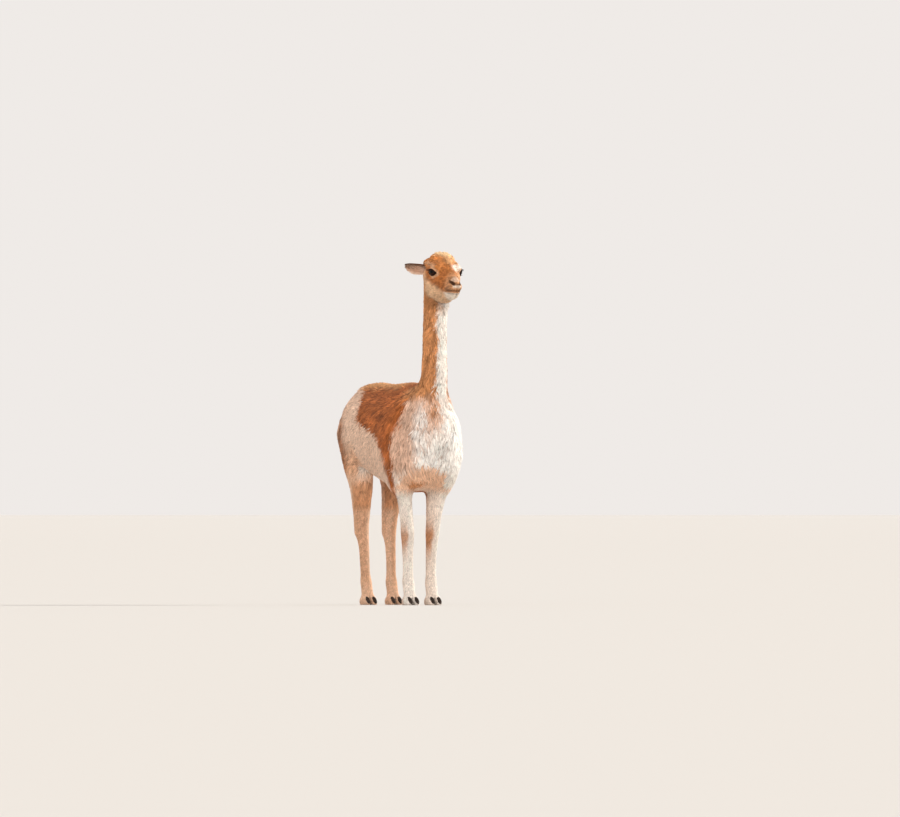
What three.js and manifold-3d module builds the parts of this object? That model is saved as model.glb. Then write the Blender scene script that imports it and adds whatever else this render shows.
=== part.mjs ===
// A vicuna standing with its neck up, life size, as a still model such as a museum shows.
// Millimetres, +Z up. The nose points to -Y, the animal's left is +X, and the soles stand on z = 0.
// The coat is part of the sizes. One smooth field holds the whole body, and thin cuts part it.
import * as THREE from "three";
import { mergeVertices } from "three/addons/utils/BufferGeometryUtils.js";
import Module from "manifold-3d";

const wasm = await Module();
wasm.setup();

// Driving sizes
const GAP = 0.3; // between pieces that touch
const REACH = 40; // how far a piece is made past its cut, before the cut
const HEAD_AT = [7, -452, 1238]; // midway between the eyes
const HEAD_TURN = 0; // degrees towards the animal's left
const HEAD_DROP = 10; // degrees that the muzzle hangs
const EYE_RADIUS = 19;
const EYE_AT = [-5, 45.5, 1]; // the left eye in the head's own frame: forward, side, up
const EYE_AIM = { out: 62, up: 5 }; // degrees from straight ahead, and above level
const LID = 3; // thickness of the eyelids
const LIDS = { long: 18, rise: 12.5, fall: 10, droop: 3, from: 8 }; // the opening between them
const LEFT_HIND_BACK = 16; // how far the left hind foot stands behind the right one
const CLEFT = 13.5; // from the middle of a foot to the middle of a toe

// Where the body's rings fan round the withers, from the neck's base down the chest
const CHEST_BEND = { pivot: { x: 0, y: -200, z: 850 }, radius: 150, turn: 63, rings: 11 };

// Trunk: places along y, with the belly's and the back's height and half the width
const TRUNK = [
  { at: -394, low: 640, high: 690, half: 22 },
  { at: -372, low: 562, high: 745, half: 70 },
  { at: -335, low: 492, high: 788, half: 104 },
  { at: -280, low: 442, high: 814, half: 130 },
  { at: -200, low: 420, high: 822, half: 143 },
  { at: -100, low: 426, high: 819, half: 151 },
  { at: 0, low: 442, high: 815, half: 154 },
  { at: 100, low: 468, high: 817, half: 150 },
  { at: 190, low: 502, high: 821, half: 139 },
  { at: 260, low: 527, high: 814, half: 126 },
  { at: 320, low: 550, high: 790, half: 109 },
  { at: 362, low: 578, high: 754, half: 85 },
  { at: 388, low: 622, high: 712, half: 52 },
  { at: 398, low: 655, high: 680, half: 14 },
];

// Neck: heights, with the front (low) and nape (high) along y
const NECK = [
  { at: 640, side: 0, low: -384, high: -180, half: 70 },
  { at: 720, side: 1, low: -396, high: -215, half: 62 },
  { at: 790, side: 2, low: -400, high: -252, half: 55 },
  { at: 850, side: 3, low: -399, high: -283, half: 50.5 },
  { at: 920, side: 3, low: -398, high: -296, half: 48 },
  { at: 1000, side: 3, low: -399, high: -301, half: 46.5 },
  { at: 1093, side: 4, low: -403, high: -303, half: 46 },
  { at: 1150, side: 4, low: -408, high: -304, half: 46 },
  { at: 1200, side: 5, low: -412, high: -306, half: 46 },
  { at: 1240, side: 5, low: -405, high: -314, half: 44 },
];

// Legs: heights, with the middle of the leg from the body's midline, its front (low) and rear (high),
// and the degrees that the foreleg's section turns outwards
const FORELEG = [
  { at: 600, side: 92, low: -306, high: -136, half: 46, turn: 0 },
  { at: 520, side: 84, low: -292, high: -140, half: 42, turn: 6 },
  { at: 460, side: 73, low: -274, high: -150, half: 36, turn: 12 },
  { at: 425, side: 66, low: -264, high: -158, half: 31, turn: 16 },
  { at: 384, side: 61, low: -256, high: -165, half: 28, turn: 17 },
  { at: 345, side: 57, low: -248, high: -172, half: 26, turn: 17 },
  { at: 310, side: 53, low: -243, high: -178, half: 24.5, turn: 15 },
  { at: 275, side: 50.5, low: -241, high: -180, half: 25.5, turn: 10 },
  { at: 247, side: 49, low: -235, high: -182, half: 24, turn: 6 },
  { at: 215, side: 48, low: -228, high: -183, half: 21.5, turn: 4 },
  { at: 150, side: 46, low: -224, high: -184, half: 19.5, turn: 4 },
  { at: 110, side: 46, low: -225, high: -184, half: 20, turn: 4 },
  { at: 85, side: 45.5, low: -229, high: -183, half: 22.5, turn: 2 },
  { at: 60, side: 45, low: -236, high: -188, half: 22, turn: 0 },
  { at: 30, side: 45, low: -246, high: -196, half: 22, turn: 0 },
];
const HINDLEG = [
  { at: 690, side: 70, low: 162, high: 372, half: 54 },
  { at: 620, side: 71, low: 148, high: 372, half: 54 },
  { at: 560, side: 70, low: 138, high: 356, half: 51 },
  { at: 500, side: 68, low: 136, high: 328, half: 46 },
  { at: 450, side: 66, low: 142, high: 292, half: 40 },
  { at: 410, side: 64, low: 155, high: 280, half: 36 },
  { at: 370, side: 62, low: 170, high: 272, half: 33 },
  { at: 330, side: 60, low: 184, high: 268, half: 29.5 },
  { at: 295, side: 59, low: 192, high: 266, half: 27 },
  { at: 268, side: 58, low: 196, high: 262, half: 26 },
  { at: 245, side: 57, low: 194, high: 243, half: 22.5 },
  { at: 215, side: 56.5, low: 190, high: 230, half: 20 },
  { at: 160, side: 56, low: 185, high: 222, half: 18.5 },
  { at: 115, side: 55, low: 181, high: 219, half: 18.5 },
  { at: 85, side: 54, low: 173, high: 217, half: 22 },
  { at: 60, side: 54, low: 163, high: 211, half: 21.5 },
  { at: 30, side: 54, low: 153, high: 205, half: 22 },
];
const FORE = { leg: FORELEG, heel: -190, footSide: 45, top: 480, rings: 14 };
const HIND = { leg: HINDLEG, heel: 210, footSide: 54, top: 610, rings: 16 };

// Toe and toenail: places forward of the heel, with their height and half their width
const TOE = [
  { at: 0, low: 2, high: 18, half: 5 },
  { at: 8, low: -5, high: 30, half: 11 },
  { at: 32, low: -6, high: 40, half: 13 },
  { at: 52, low: -6, high: 35, half: 12.5 },
  { at: 66, low: -5, high: 25, half: 11 },
  { at: 76, low: 1, high: 13, half: 5 },
];
const NAIL = [
  { at: 48, low: 17, high: 30, half: 5 },
  { at: 56, low: 13, high: 31.5, half: 7.5 },
  { at: 68, low: 8, high: 25.5, half: 7.5 },
  { at: 78, low: 5, high: 16.5, half: 5.5 },
  { at: 84, low: 4.5, high: 8.5, half: 2 },
];

// Tail: heights, with its inner (low) and outer (high) side along y
const TAIL = [
  { at: 766, side: 0, low: 345, high: 385, half: 20 },
  { at: 742, side: 0, low: 364, high: 412, half: 27 },
  { at: 705, side: 0, low: 380, high: 428, half: 30 },
  { at: 650, side: 0, low: 382, high: 434, half: 32 },
  { at: 600, side: 0, low: 380, high: 431, half: 29 },
  { at: 565, side: 0, low: 384, high: 421, half: 21 },
  { at: 548, side: 0, low: 395, high: 407, half: 7 },
];

// Head, in its own frame: places forward of the eyes, with heights from the eyes' level
const SKULL = [
  { at: -112, low: -40, high: 12, half: 36 },
  { at: -98, low: -66, high: 32, half: 47 },
  { at: -78, low: -90, high: 48, half: 53 },
  { at: -52, low: -106, high: 59, half: 56 },
  { at: -25, low: -110, high: 61, half: 54 },
  { at: 0, low: -109, high: 53, half: 49 },
  { at: 25, low: -104, high: 39, half: 41 },
  { at: 50, low: -98, high: 23, half: 33 },
  { at: 75, low: -92, high: 9, half: 26.5 },
  { at: 93, low: -87, high: -1, half: 23.5 },
  { at: 104, low: -80, high: -8, half: 19 },
  { at: 112, low: -69, high: -19, half: 12 },
  { at: 116, low: -56, high: -34, half: 4 },
];

// Ear: shares of its length, with half its width and how deep its back and its cup are
const EAR = [
  { at: 0, half: 12, back: 15, cup: 1 },
  { at: 0.14, half: 16, back: 17, cup: 5 },
  { at: 0.32, half: 22, back: 18, cup: 12 },
  { at: 0.52, half: 23.5, back: 16, cup: 12 },
  { at: 0.72, half: 21, back: 12.5, cup: 9 },
  { at: 0.88, half: 14.5, back: 8.5, cup: 5 },
  { at: 1, half: 4, back: 3.5, cup: 1 },
];
const EAR_LENGTH = 94;
const EAR_EDGE = 1.7; // thickness of its rim
const EAR_ROOT = [-74, 37, 3]; // the left ear's, in the head's own frame
// Which way each ear is held in the head's frame, as degrees back from sideways and down, and how it turns
const EAR_HELD = {
  left: { back: 62, down: 4, turn: 10 },
  right: { back: 33, down: 4, turn: 32 },
};

// Rounded forms that swell the lofts: middle, radii, and how softly each blends in.
// One whose middle is off the midline comes twice.
const BODY_FORMS = [
  { name: "shoulder", at: [90, -216, 552], size: [46, 92, 138], blend: 70 },
  { name: "breast", at: [0, -330, 600], size: [76, 62, 118], blend: 110 },
  { name: "hip", at: [62, 246, 672], size: [56, 94, 90], blend: 70 },
];
const HEAD_FORMS = [
  { name: "crown", at: [-50, 0, 40], size: [42, 53, 27], blend: 18 },
  { name: "brow", at: [-2, 36, 18], size: [34, 20, 23], blend: 16 },
  { name: "cheekbone", at: [4, 35, -20], size: [36, 17, 22], blend: 12 },
  { name: "cheek", at: [-26, 33, -50], size: [40, 20, 40], blend: 16 },
  { name: "upper_lip", at: [99, 10, -38], size: [19, 15, 16], blend: 7 },
  { name: "nose", at: [109, 0, -22], size: [12, 16, 11], blend: 7 },
  { name: "lower_lip", at: [92, 0, -62], size: [18, 16, 11], blend: 6 },
  { name: "ear_base", at: [-82, 41, 22], size: [25, 20, 22], blend: 14 },
];

// Mouth: its line from the corner to the front, in the head's own frame, and the groove's size
const MOUTH = [
  { f: 52, u: -58 },
  { f: 72, u: -57 },
  { f: 92, u: -54 },
  { f: 112, u: -53 },
  { f: 132, u: -53 },
];
const MOUTH_GROOVE = { high: 2.6, deep: 4.5 };
const NOSTRIL = { line: [[89, 25, -17], [102, 19.5, -18.5], [113, 11.5, -26]], wide: 5.5, high: 4 };
const LIP_CLEFT = { line: [[119, 0, -27], [121, 0, -38], [118, 0, -52]], wide: 1.4, high: 4 };

// Coat locks, of which each rises from its root, lies back along the body and tapers to a point
const LOCKS = {
  bib: { length: 96, width: 50, thick: 14, lift: 5, sink: 10 },
  belly: { length: 66, width: 42, thick: 13, lift: 4, sink: 10 },
  tail: { length: 70, width: 22, thick: 10, lift: 5, sink: 7 },
  crown: { length: 38, width: 24, thick: 11, lift: 4, sink: 7 },
};
const LOCK_SHAPE = [
  { t: 0, wide: 0.7, thick: 0.8, rise: 0 },
  { t: 0.36, wide: 1, thick: 1, rise: 0.62 },
  { t: 0.7, wide: 0.78, thick: 0.66, rise: 1 },
];
const LOCK_TIP = { t: 1, rise: 0.68 };
const LOCK_VARIES = 0.16; // share by which a lock's length, width and turn vary

const degrees = THREE.MathUtils.degToRad;
const { clamp, lerp, smoothstep } = THREE.MathUtils;
const vector = (x, y, z) => new THREE.Vector3(x, y, z);

// A station's value between two places: a cubic whose slope at each place is that of its neighbours
function between(stations, at, key) {
  const last = stations.length - 1;
  const rising = stations[last].at > stations[0].at;
  let i = 0;
  while (i < last - 1 && (rising ? at > stations[i + 1].at : at < stations[i + 1].at)) i += 1;
  const value = (n) => stations[n][key] ?? 0;
  const slope = (n) => {
    const a = Math.max(n - 1, 0);
    const b = Math.min(n + 1, last);
    return (value(b) - value(a)) / (stations[b].at - stations[a].at);
  };
  const step = stations[i + 1].at - stations[i].at;
  const t = clamp((at - stations[i].at) / step, 0, 1);
  const t2 = t * t;
  const t3 = t2 * t;
  return (
    (2 * t3 - 3 * t2 + 1) * value(i) +
    (t3 - 2 * t2 + t) * step * slope(i) +
    (3 * t2 - 2 * t3) * value(i + 1) +
    (t3 - t2) * step * slope(i + 1)
  );
}

// Nearly the distance to an ellipsoid's surface, negative inside. A flat ellipse leaves the third place out.
function toEllipse(a, b, ra, rb, c = 0, rc = 1) {
  const near = Math.hypot(a / ra, b / rb, c / rc);
  const steep = Math.hypot(a / (ra * ra), b / (rb * rb), c / (rc * rc));
  return steep < 1e-9 ? -Math.min(ra, rb) : (near * (near - 1)) / steep;
}

// A body lofted through stations: t runs along it, a across, and b from low to high
function loft(stations) {
  const ends = [stations[0].at, stations[stations.length - 1].at].sort((x, y) => x - y);
  return (t, a, b) => {
    const at = clamp(t, ...ends);
    const low = between(stations, at, "low");
    const high = between(stations, at, "high");
    const middle = (low + high) / 2;
    const across = a - between(stations, at, "side");
    const turn = degrees(between(stations, at, "turn"));
    const wide = across * Math.cos(turn) + (b - middle) * Math.sin(turn);
    const long = (b - middle) * Math.cos(turn) - across * Math.sin(turn);
    const section = toEllipse(wide, long, between(stations, at, "half"), (high - low) / 2);
    return t === at ? section : Math.hypot(Math.max(section, 0), t - at);
  };
}

// Two surfaces joined with a fillet about as wide as blend
function join(a, b, blend) {
  const near = Math.max(blend - Math.abs(a - b), 0) / blend;
  return Math.min(a, b) - (near * near * blend) / 4;
}

// A distance with the rounded forms joined to it. The form's place that mirrors has the given index.
function swell(forms, distance, place, mirrored) {
  let found = distance;
  for (const { at, size, blend } of forms) {
    const [x, y, z] = place.map((v, i) => (i === mirrored && at[i] ? Math.abs(v) : v) - at[i]);
    found = join(found, toEllipse(x, y, size[0], size[1], z, size[2]), blend);
  }
  return found;
}

// The head's frame: forward, side and up
const headFrame = new THREE.Matrix4()
  .makeRotationZ(degrees(HEAD_TURN))
  .multiply(new THREE.Matrix4().makeRotationX(degrees(HEAD_DROP)))
  .multiply(new THREE.Matrix4().makeBasis(vector(0, -1, 0), vector(1, 0, 0), vector(0, 0, 1)))
  .setPosition(...HEAD_AT);
const toHead = headFrame.clone().invert();
const fromHead = (f, s, u) => vector(f, s, u).applyMatrix4(headFrame);
const wayFromHead = (f, s, u) => vector(f, s, u).transformDirection(headFrame);

const trunk = loft(TRUNK);
const neck = loft(NECK);
const legs = new Map([FORE, HIND].map((limb) => [limb, loft(limb.leg)]));
const toe = loft(TOE);
const nail = loft(NAIL);
const tail = loft(TAIL);
const skull = loft(SKULL);

// How far back a leg's lower part is carried at a height
function carried(limb, left, z) {
  return limb === HIND && left ? LEFT_HIND_BACK * smoothstep(-z, -600, -300) : 0;
}

const heelOf = (limb, left) => limb.heel + carried(limb, left, 0);

function headField(p) {
  const { x, y, z } = p.clone().applyMatrix4(toHead);
  return swell(HEAD_FORMS, skull(x, y, z), [x, y, z], 1);
}

function legField(p, limb, left) {
  const side = left ? p.x : -p.x;
  return legs.get(limb)(p.z, side, p.y - carried(limb, left, p.z));
}

// The whole animal without its ears, toes and tail
function body(p) {
  let found = swell(BODY_FORMS, trunk(p.y, p.x, p.z), [p.x, p.y, p.z], 0);
  found = join(found, neck(p.z, p.x, p.y), 60);
  if (p.z < 760) found = join(found, legField(p, p.y < 0 ? FORE : HIND, p.x > 0), 30);
  if (p.z > 1000) found = join(found, headField(p), 26);
  return found;
}

// Planes that part the neck from the trunk and the head
function plane(point, normal) {
  const n = normal.clone().normalize();
  return { point, normal: n, above: (p) => p.clone().sub(point).dot(n) };
}
const neckBase = plane(vector(0, -340, 790), vector(0, -0.45, 0.89));
const neckTop = plane(vector(0, -356, 1166), vector(0, -0.72, 0.69));

// A leg's own space: outside the inner wall, under a slanting roof, between two upright walls
FORE.space = { inner: 20, armpit: 416, outer: 150, roof: 530, front: -318, rear: -122 };
HIND.space = { inner: 12, armpit: 520, outer: 150, roof: 705, front: 128, rear: 470 };

function outOfSpace({ inner, armpit, outer, roof, front, rear }, left) {
  const slope = vector(armpit - roof, 0, outer - inner).normalize();
  return (p) => {
    const side = left ? p.x : -p.x;
    const above = (side - inner) * slope.x + (p.z - armpit) * slope.z;
    return Math.max(inner - side, above, front - p.y, p.y - rear);
  };
}

// A closed mesh's geometry as a solid, and back
function solid(geometry) {
  const bare = geometry.clone();
  bare.deleteAttribute("normal");
  bare.deleteAttribute("uv");
  const merged = mergeVertices(bare, 1e-4);
  return new wasm.Manifold(
    new wasm.Mesh({
      numProp: 3,
      vertProperties: merged.attributes.position.array,
      triVerts: new Uint32Array(merged.index.array),
    }),
  );
}

function geometryOf(made) {
  const { vertProperties, triVerts } = made.getMesh();
  return new THREE.BufferGeometry()
    .setAttribute("position", new THREE.BufferAttribute(vertProperties, 3))
    .setIndex(new THREE.BufferAttribute(triVerts, 1));
}

// The largest closed surface, filled
function largest(made) {
  return made.decompose().reduce((a, b) => (b.volume() > a.volume() ? b : a));
}

// Where a ray from inside first meets the field's surface
function cast(field, from, way) {
  const at = (t) => field(from.clone().addScaledVector(way, t));
  let near = 0;
  let far = 0;
  for (let value = at(0); value < 0; value = at(far)) {
    near = far;
    far += Math.max(-value * 0.6, 1.5);
  }
  for (let n = 0; n < 14; n += 1) {
    const middle = (near + far) / 2;
    if (at(middle) < 0) near = middle;
    else far = middle;
  }
  return from.clone().addScaledVector(way, (near + far) / 2);
}

// Triangles between rings of points, all alike in number, closed by a point at either end
function skin(rings, start, end) {
  const count = rings[0].length;
  const points = [...rings.flat(), start, end];
  const faces = [];
  for (let k = 0; k < count; k += 1) {
    const next = (k + 1) % count;
    for (let r = 0; r < rings.length - 1; r += 1) {
      const a = r * count + k;
      const b = r * count + next;
      faces.push(a, b, b + count, a, b + count, a + count);
    }
    const last = (rings.length - 1) * count;
    faces.push(points.length - 2, next, k);
    faces.push(points.length - 1, last + k, last + next);
  }
  return solid(new THREE.BufferGeometry().setFromPoints(points).setIndex(faces));
}

// Numbers from -1 to 1 that vary from one to the next, alike on each run
function varied(seed) {
  let state = seed;
  return () => {
    state = (state * 16807) % 2147483647;
    return (2 * state) / 2147483647 - 1;
  };
}

// One flat lock
function lock(root, out, lie, style, vary) {
  const { length, width, thick, lift, sink } = style;
  const along = lie.clone().applyAxisAngle(out, vary() * LOCK_VARIES);
  const across = out.clone().cross(along).normalize();
  const long = length * (1 + vary() * LOCK_VARIES);
  const broad = width * (1 + vary() * LOCK_VARIES);
  const at = ({ t, rise }) =>
    root.clone().addScaledVector(along, long * t).addScaledVector(out, (lift + sink) * rise - sink);
  const sides = 4;
  const rings = LOCK_SHAPE.map((station) =>
    Array.from({ length: sides }, (_, k) => {
      const turn = (2 * Math.PI * k) / sides;
      const moved = at(station).addScaledVector(across, (Math.cos(turn) * broad * station.wide) / 2);
      return moved.addScaledVector(out, (Math.sin(turn) * thick * station.thick) / 2);
    }),
  );
  return skin(rings, at(LOCK_SHAPE[0]), at(LOCK_TIP));
}

// Locks rooted where rays from inside meet a field's surface, joined to the piece they grow from
function withLocks(made, field, style, seed, rays) {
  const vary = varied(seed);
  return rays.reduce((grown, { from, way, lie }) => {
    const root = cast(field, from, way);
    const slope = [vector(1, 0, 0), vector(0, 1, 0), vector(0, 0, 1)].map(
      (axis) => field(root.clone().add(axis)) - field(root.clone().sub(axis)),
    );
    const out = vector(...slope).normalize();
    const flat = lie.clone().addScaledVector(out, -lie.dot(out) * 0.8).normalize();
    return grown.add(lock(root, out, flat, style, vary));
  }, made);
}

// A grid of rays in staggered rows
function rows(count, across, ray) {
  return Array.from({ length: count }, (_, row) => {
    const number = across - (row % 2);
    return Array.from({ length: number }, (__, n) => {
      const share = (n + 0.5) / number;
      return ray((row + 0.5) / count, 2 * share - 1);
    });
  }).flat();
}

// A closed mesh drawn over a field by rings of rays. A ring's rays leave its middle square to its axis,
// or leaning along it by the ring's lean.
function wrap(field, rings, spokes) {
  const drawn = rings.map(({ from, axis, lean = 0 }) => {
    const across = vector(1, 0, 0).projectOnPlane(axis).normalize();
    const up = axis.clone().cross(across);
    return Array.from({ length: spokes }, (_, k) => {
      const turn = (2 * Math.PI * k) / spokes;
      const way = across.clone().multiplyScalar(Math.cos(turn)).addScaledVector(up, Math.sin(turn));
      way.multiplyScalar(Math.cos(lean)).addScaledVector(axis, Math.sin(lean));
      return cast(field, from, way);
    });
  });
  const end = ({ from, axis, lean }, sign) =>
    lean ? cast(field, from, axis.clone().multiplyScalar(sign)) : from;
  return skin(drawn, end(rings[0], -1), end(rings[rings.length - 1], 1));
}

// Rings along a straight run, with leaning rings that round off both ends
function capsule(from, to, steps, caps, capsAfter = caps) {
  const axis = to.clone().sub(from).normalize();
  const cap = (end, sign, count) => {
    const lean = (n) => (sign * Math.PI * (n + 1)) / (2 * (count + 1));
    return Array.from({ length: count }, (_, n) => ({ from: end, axis, lean: lean(n) }));
  };
  const run = Array.from({ length: steps + 1 }, (_, n) => ({ from: from.clone().lerp(to, n / steps), axis }));
  return [...cap(from, -1, caps).reverse(), ...run, ...cap(to, 1, capsAfter)];
}

// A big block above a plane, or below it
function half({ point, normal }, above, shift = 0) {
  const size = 1600;
  const way = normal.clone().multiplyScalar(above ? 1 : -1);
  const block = new THREE.BoxGeometry(size, size, size);
  block.applyQuaternion(new THREE.Quaternion().setFromUnitVectors(vector(0, 0, 1), way));
  const middle = point.clone().addScaledVector(way, shift + size / 2);
  return solid(block.translate(middle.x, middle.y, middle.z));
}

// A leg's space as a solid, grown by some amount
function spaceSolid({ inner, armpit, outer, roof, front, rear }, left, grow) {
  const rise = (roof - armpit) / (outer - inner);
  const lift = grow * Math.hypot(1, rise);
  const far = 420;
  const below = -60;
  const outline = new THREE.Shape([
    new THREE.Vector2(inner - grow, below),
    new THREE.Vector2(far, below),
    new THREE.Vector2(far, armpit + (far - inner) * rise + lift),
    new THREE.Vector2(inner - grow, armpit - grow * rise + lift),
  ]);
  const prism = new THREE.ExtrudeGeometry(outline, { depth: rear - front + 2 * grow, bevelEnabled: false });
  const made = solid(prism.rotateX(Math.PI / 2).translate(0, rear + grow, 0));
  return left ? made : made.mirror([1, 0, 0]);
}

// Torso
function makeTorso() {
  const floor = (p) => (p.y < HIND.space.front ? FORE : HIND).space.armpit - 12 - p.z;
  const field = (p) => Math.max(body(p), neckBase.above(p) - REACH, floor(p));
  const { pivot, radius, turn: most, rings: count } = CHEST_BEND;
  const centre = (turn) => vector(0, -Math.sin(turn), -Math.cos(turn)).multiplyScalar(radius).add(pivot);
  const bend = Array.from({ length: count }, (_, n) => {
    const turn = degrees(most) * (1 - n / count);
    return { from: centre(turn), axis: vector(0, Math.cos(turn), -Math.sin(turn)) };
  });
  const inNeck = neckBase.point.clone().addScaledVector(neckBase.normal, REACH / 2);
  const first = { from: inNeck, axis: bend[0].axis };
  let made = wrap(field, [first, ...bend, ...capsule(centre(0), vector(0, 300, 680), 16, 0, 4)], 32);
  const chest = rows(2, 10, (down, across) => {
    const turn = across * degrees(66);
    return {
      from: vector(0, -250, lerp(590, 500, down)),
      way: vector(Math.sin(turn), -Math.cos(turn), 0),
      lie: vector(-0.1 * across, 0.15, -1),
    };
  });
  made = withLocks(made, field, LOCKS.bib, 11, chest);
  for (const side of [1, -1]) {
    const fringe = rows(1, 7, (_, along) => ({
      from: vector(0, 104 * along, 620),
      way: vector(side * 0.52, 0, -0.85),
      lie: vector(0.2 * side, 0.4, -1),
    }));
    made = withLocks(made, field, LOCKS.belly, side > 0 ? 23 : 29, fringe);
  }
  made = made.subtract(half(neckBase, true));
  for (const { space } of [FORE, HIND]) {
    made = made.subtract(spaceSolid(space, true, GAP)).subtract(spaceSolid(space, false, GAP));
  }
  return largest(made);
}

// Neck
function makeNeck() {
  const field = (p) => Math.max(body(p), neckTop.above(p) - REACH, -neckBase.above(p) - REACH);
  const from = neckBase.point.clone().addScaledVector(neckBase.normal, -REACH);
  const to = neckTop.point.clone().addScaledVector(neckTop.normal, REACH);
  const count = 12;
  const rings = Array.from({ length: count + 1 }, (_, n) => ({
    from: from.clone().lerp(to, n / count),
    axis: neckBase.normal.clone().lerp(neckTop.normal, n / count).normalize(),
  }));
  return largest(wrap(field, rings, 26).subtract(half(neckBase, false, -GAP)).subtract(half(neckTop, true)));
}

// A head's skin, moved out by some amount
function headSkin(out, steps, spokes) {
  const field = (p) => Math.max(body(p) - out, -neckTop.above(p) - REACH);
  return wrap(field, capsule(fromHead(-48, 0, -18), fromHead(94, 0, -42), steps, 4), spokes);
}

// An eye's frame: along to its front corner, up, and out along its sight
function eyeFrame(left) {
  const side = left ? 1 : -1;
  const out = degrees(EYE_AIM.out);
  const up = degrees(EYE_AIM.up);
  const sight = wayFromHead(Math.cos(out) * Math.cos(up), side * Math.sin(out) * Math.cos(up), Math.sin(up));
  const rise = wayFromHead(0, 0, 1).projectOnPlane(sight).normalize();
  const along = rise.clone().cross(sight);
  const [f, s, u] = EYE_AT;
  return new THREE.Matrix4().makeBasis(along, rise, sight).setPosition(fromHead(f, side * s, u));
}

function eyeBall(left, radius) {
  const ball = new THREE.SphereGeometry(radius, 14, 8).rotateX(Math.PI / 2);
  return solid(ball.applyMatrix4(eyeFrame(left)));
}

// The opening between the lids, an almond whose corners lie to the front and rear, cut in along the sight
function lidOpening(left) {
  const front = left ? -1 : 1;
  const { long, rise, fall, droop } = LIDS;
  const outline = new THREE.Shape().moveTo(-long * front, 0);
  outline.quadraticCurveTo(-2 * front, 2 * rise, long * front, -droop);
  outline.quadraticCurveTo(2 * front, -2 * fall, -long * front, 0);
  const settings = { depth: 40, bevelEnabled: false, curveSegments: 6 };
  const prism = new THREE.ExtrudeGeometry(outline, settings).translate(0, 0, LIDS.from);
  return solid(prism.applyMatrix4(eyeFrame(left)));
}

// A rod that follows a line of points in the head's frame, with a flat oval section
function rod(points, wide, high, sides = 8) {
  const line = points.map((p) => fromHead(...p));
  const rings = line.map((at, n) => {
    const way = line[Math.min(n + 1, line.length - 1)].clone().sub(line[Math.max(n - 1, 0)]).normalize();
    const up = wayFromHead(0, 0, 1).projectOnPlane(way).normalize();
    const across = way.clone().cross(up);
    return Array.from({ length: sides }, (_, k) => {
      const turn = (2 * Math.PI * k) / sides;
      const lifted = at.clone().addScaledVector(up, Math.sin(turn) * high);
      return lifted.addScaledVector(across, -Math.cos(turn) * wide);
    });
  });
  return skin(rings, line[0], line[line.length - 1]);
}

// The groove of the mouth: a thin curved sheet across the muzzle, kept near the surface
function mouthGroove(kernel) {
  const { high } = MOUTH_GROOVE;
  const upper = MOUTH.map(({ f, u }, n) => new THREE.Vector2(f, u + (n ? high / 2 : 0.2)));
  const lower = MOUTH.map(({ f, u }, n) => new THREE.Vector2(f, u - (n ? high / 2 : 0.2)));
  const outline = new THREE.Shape([...upper, ...lower.reverse()]);
  const width = 90;
  const sheet = new THREE.ExtrudeGeometry(outline, { depth: width, bevelEnabled: false });
  sheet.translate(0, 0, -width / 2).rotateX(Math.PI / 2);
  return solid(sheet.applyMatrix4(headFrame)).subtract(kernel);
}

// Head, with its sockets, lids, nostrils, cleft lip and mouth
function makeHead() {
  let made = headSkin(0, 17, 30);
  const kernel = headSkin(-MOUTH_GROOVE.deep, 12, 18);
  for (const left of [true, false]) {
    made = made.add(eyeBall(left, EYE_RADIUS + LID)).subtract(eyeBall(left, EYE_RADIUS + GAP));
    made = made.subtract(lidOpening(left));
    const side = left ? 1 : -1;
    const line = NOSTRIL.line.map(([f, s, u]) => [f, side * s, u]);
    made = made.subtract(rod(line, NOSTRIL.wide, NOSTRIL.high));
  }
  made = made.subtract(mouthGroove(kernel)).subtract(rod(LIP_CLEFT.line, LIP_CLEFT.wide, LIP_CLEFT.high));
  const tuft = rows(4, 4, (forward, across) => {
    const tip = degrees(lerp(-50, 42, forward));
    const lean = degrees(34) * across;
    return {
      from: fromHead(-50, 0, 20),
      way: wayFromHead(Math.sin(tip), Math.cos(tip) * Math.sin(lean), Math.cos(tip) * Math.cos(lean)),
      lie: wayFromHead(1, 0.5 * across, 0.15),
    };
  });
  made = withLocks(made, body, LOCKS.crown, 37, tuft);
  return largest(made.subtract(half(neckTop, false, -GAP)));
}

// Ear: a curved leaf with a cup in it
function makeEar(left, headGrown) {
  const side = left ? 1 : -1;
  const held = EAR_HELD[left ? "left" : "right"];
  const back = degrees(held.back);
  const down = degrees(held.down);
  const level = Math.cos(down);
  const way = vector(-Math.sin(back) * level, side * Math.cos(back) * level, -Math.sin(down));
  const facing = vector(Math.cos(back), side * Math.sin(back), 0);
  const open = facing.applyAxisAngle(way, side * degrees(held.turn));
  const wide = way.clone().cross(open);
  const frame = headFrame.clone().multiply(new THREE.Matrix4().makeBasis(way, open, wide));
  frame.setPosition(fromHead(EAR_ROOT[0], side * EAR_ROOT[1], EAR_ROOT[2]));
  const folds = 6;
  const rings = EAR.map(({ at, half: width, back: deep, cup }) => {
    const arc = (depth, edge) => (n) => {
      const v = -1 + (2 * n) / folds;
      const bow = 6 * Math.sin(Math.PI * at);
      return vector(at * EAR_LENGTH, edge - depth * (1 - v * v) + bow, width * v * (1 - 0.12 * v * v));
    };
    const count = Array.from({ length: folds + 1 }, (_, n) => n);
    const inner = count.map(arc(cup, EAR_EDGE / 2));
    const outer = count.map(arc(deep, -EAR_EDGE / 2)).reverse();
    return [...inner, ...outer].map((p) => p.applyMatrix4(frame));
  });
  const middle = (ring) => ring.reduce((a, b) => a.add(b), vector(0, 0, 0)).divideScalar(ring.length);
  const ends = [rings[0], rings[rings.length - 1]].map((ring) => middle(ring.map((p) => p.clone())));
  return largest(skin(rings, ...ends).subtract(headGrown));
}

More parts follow.
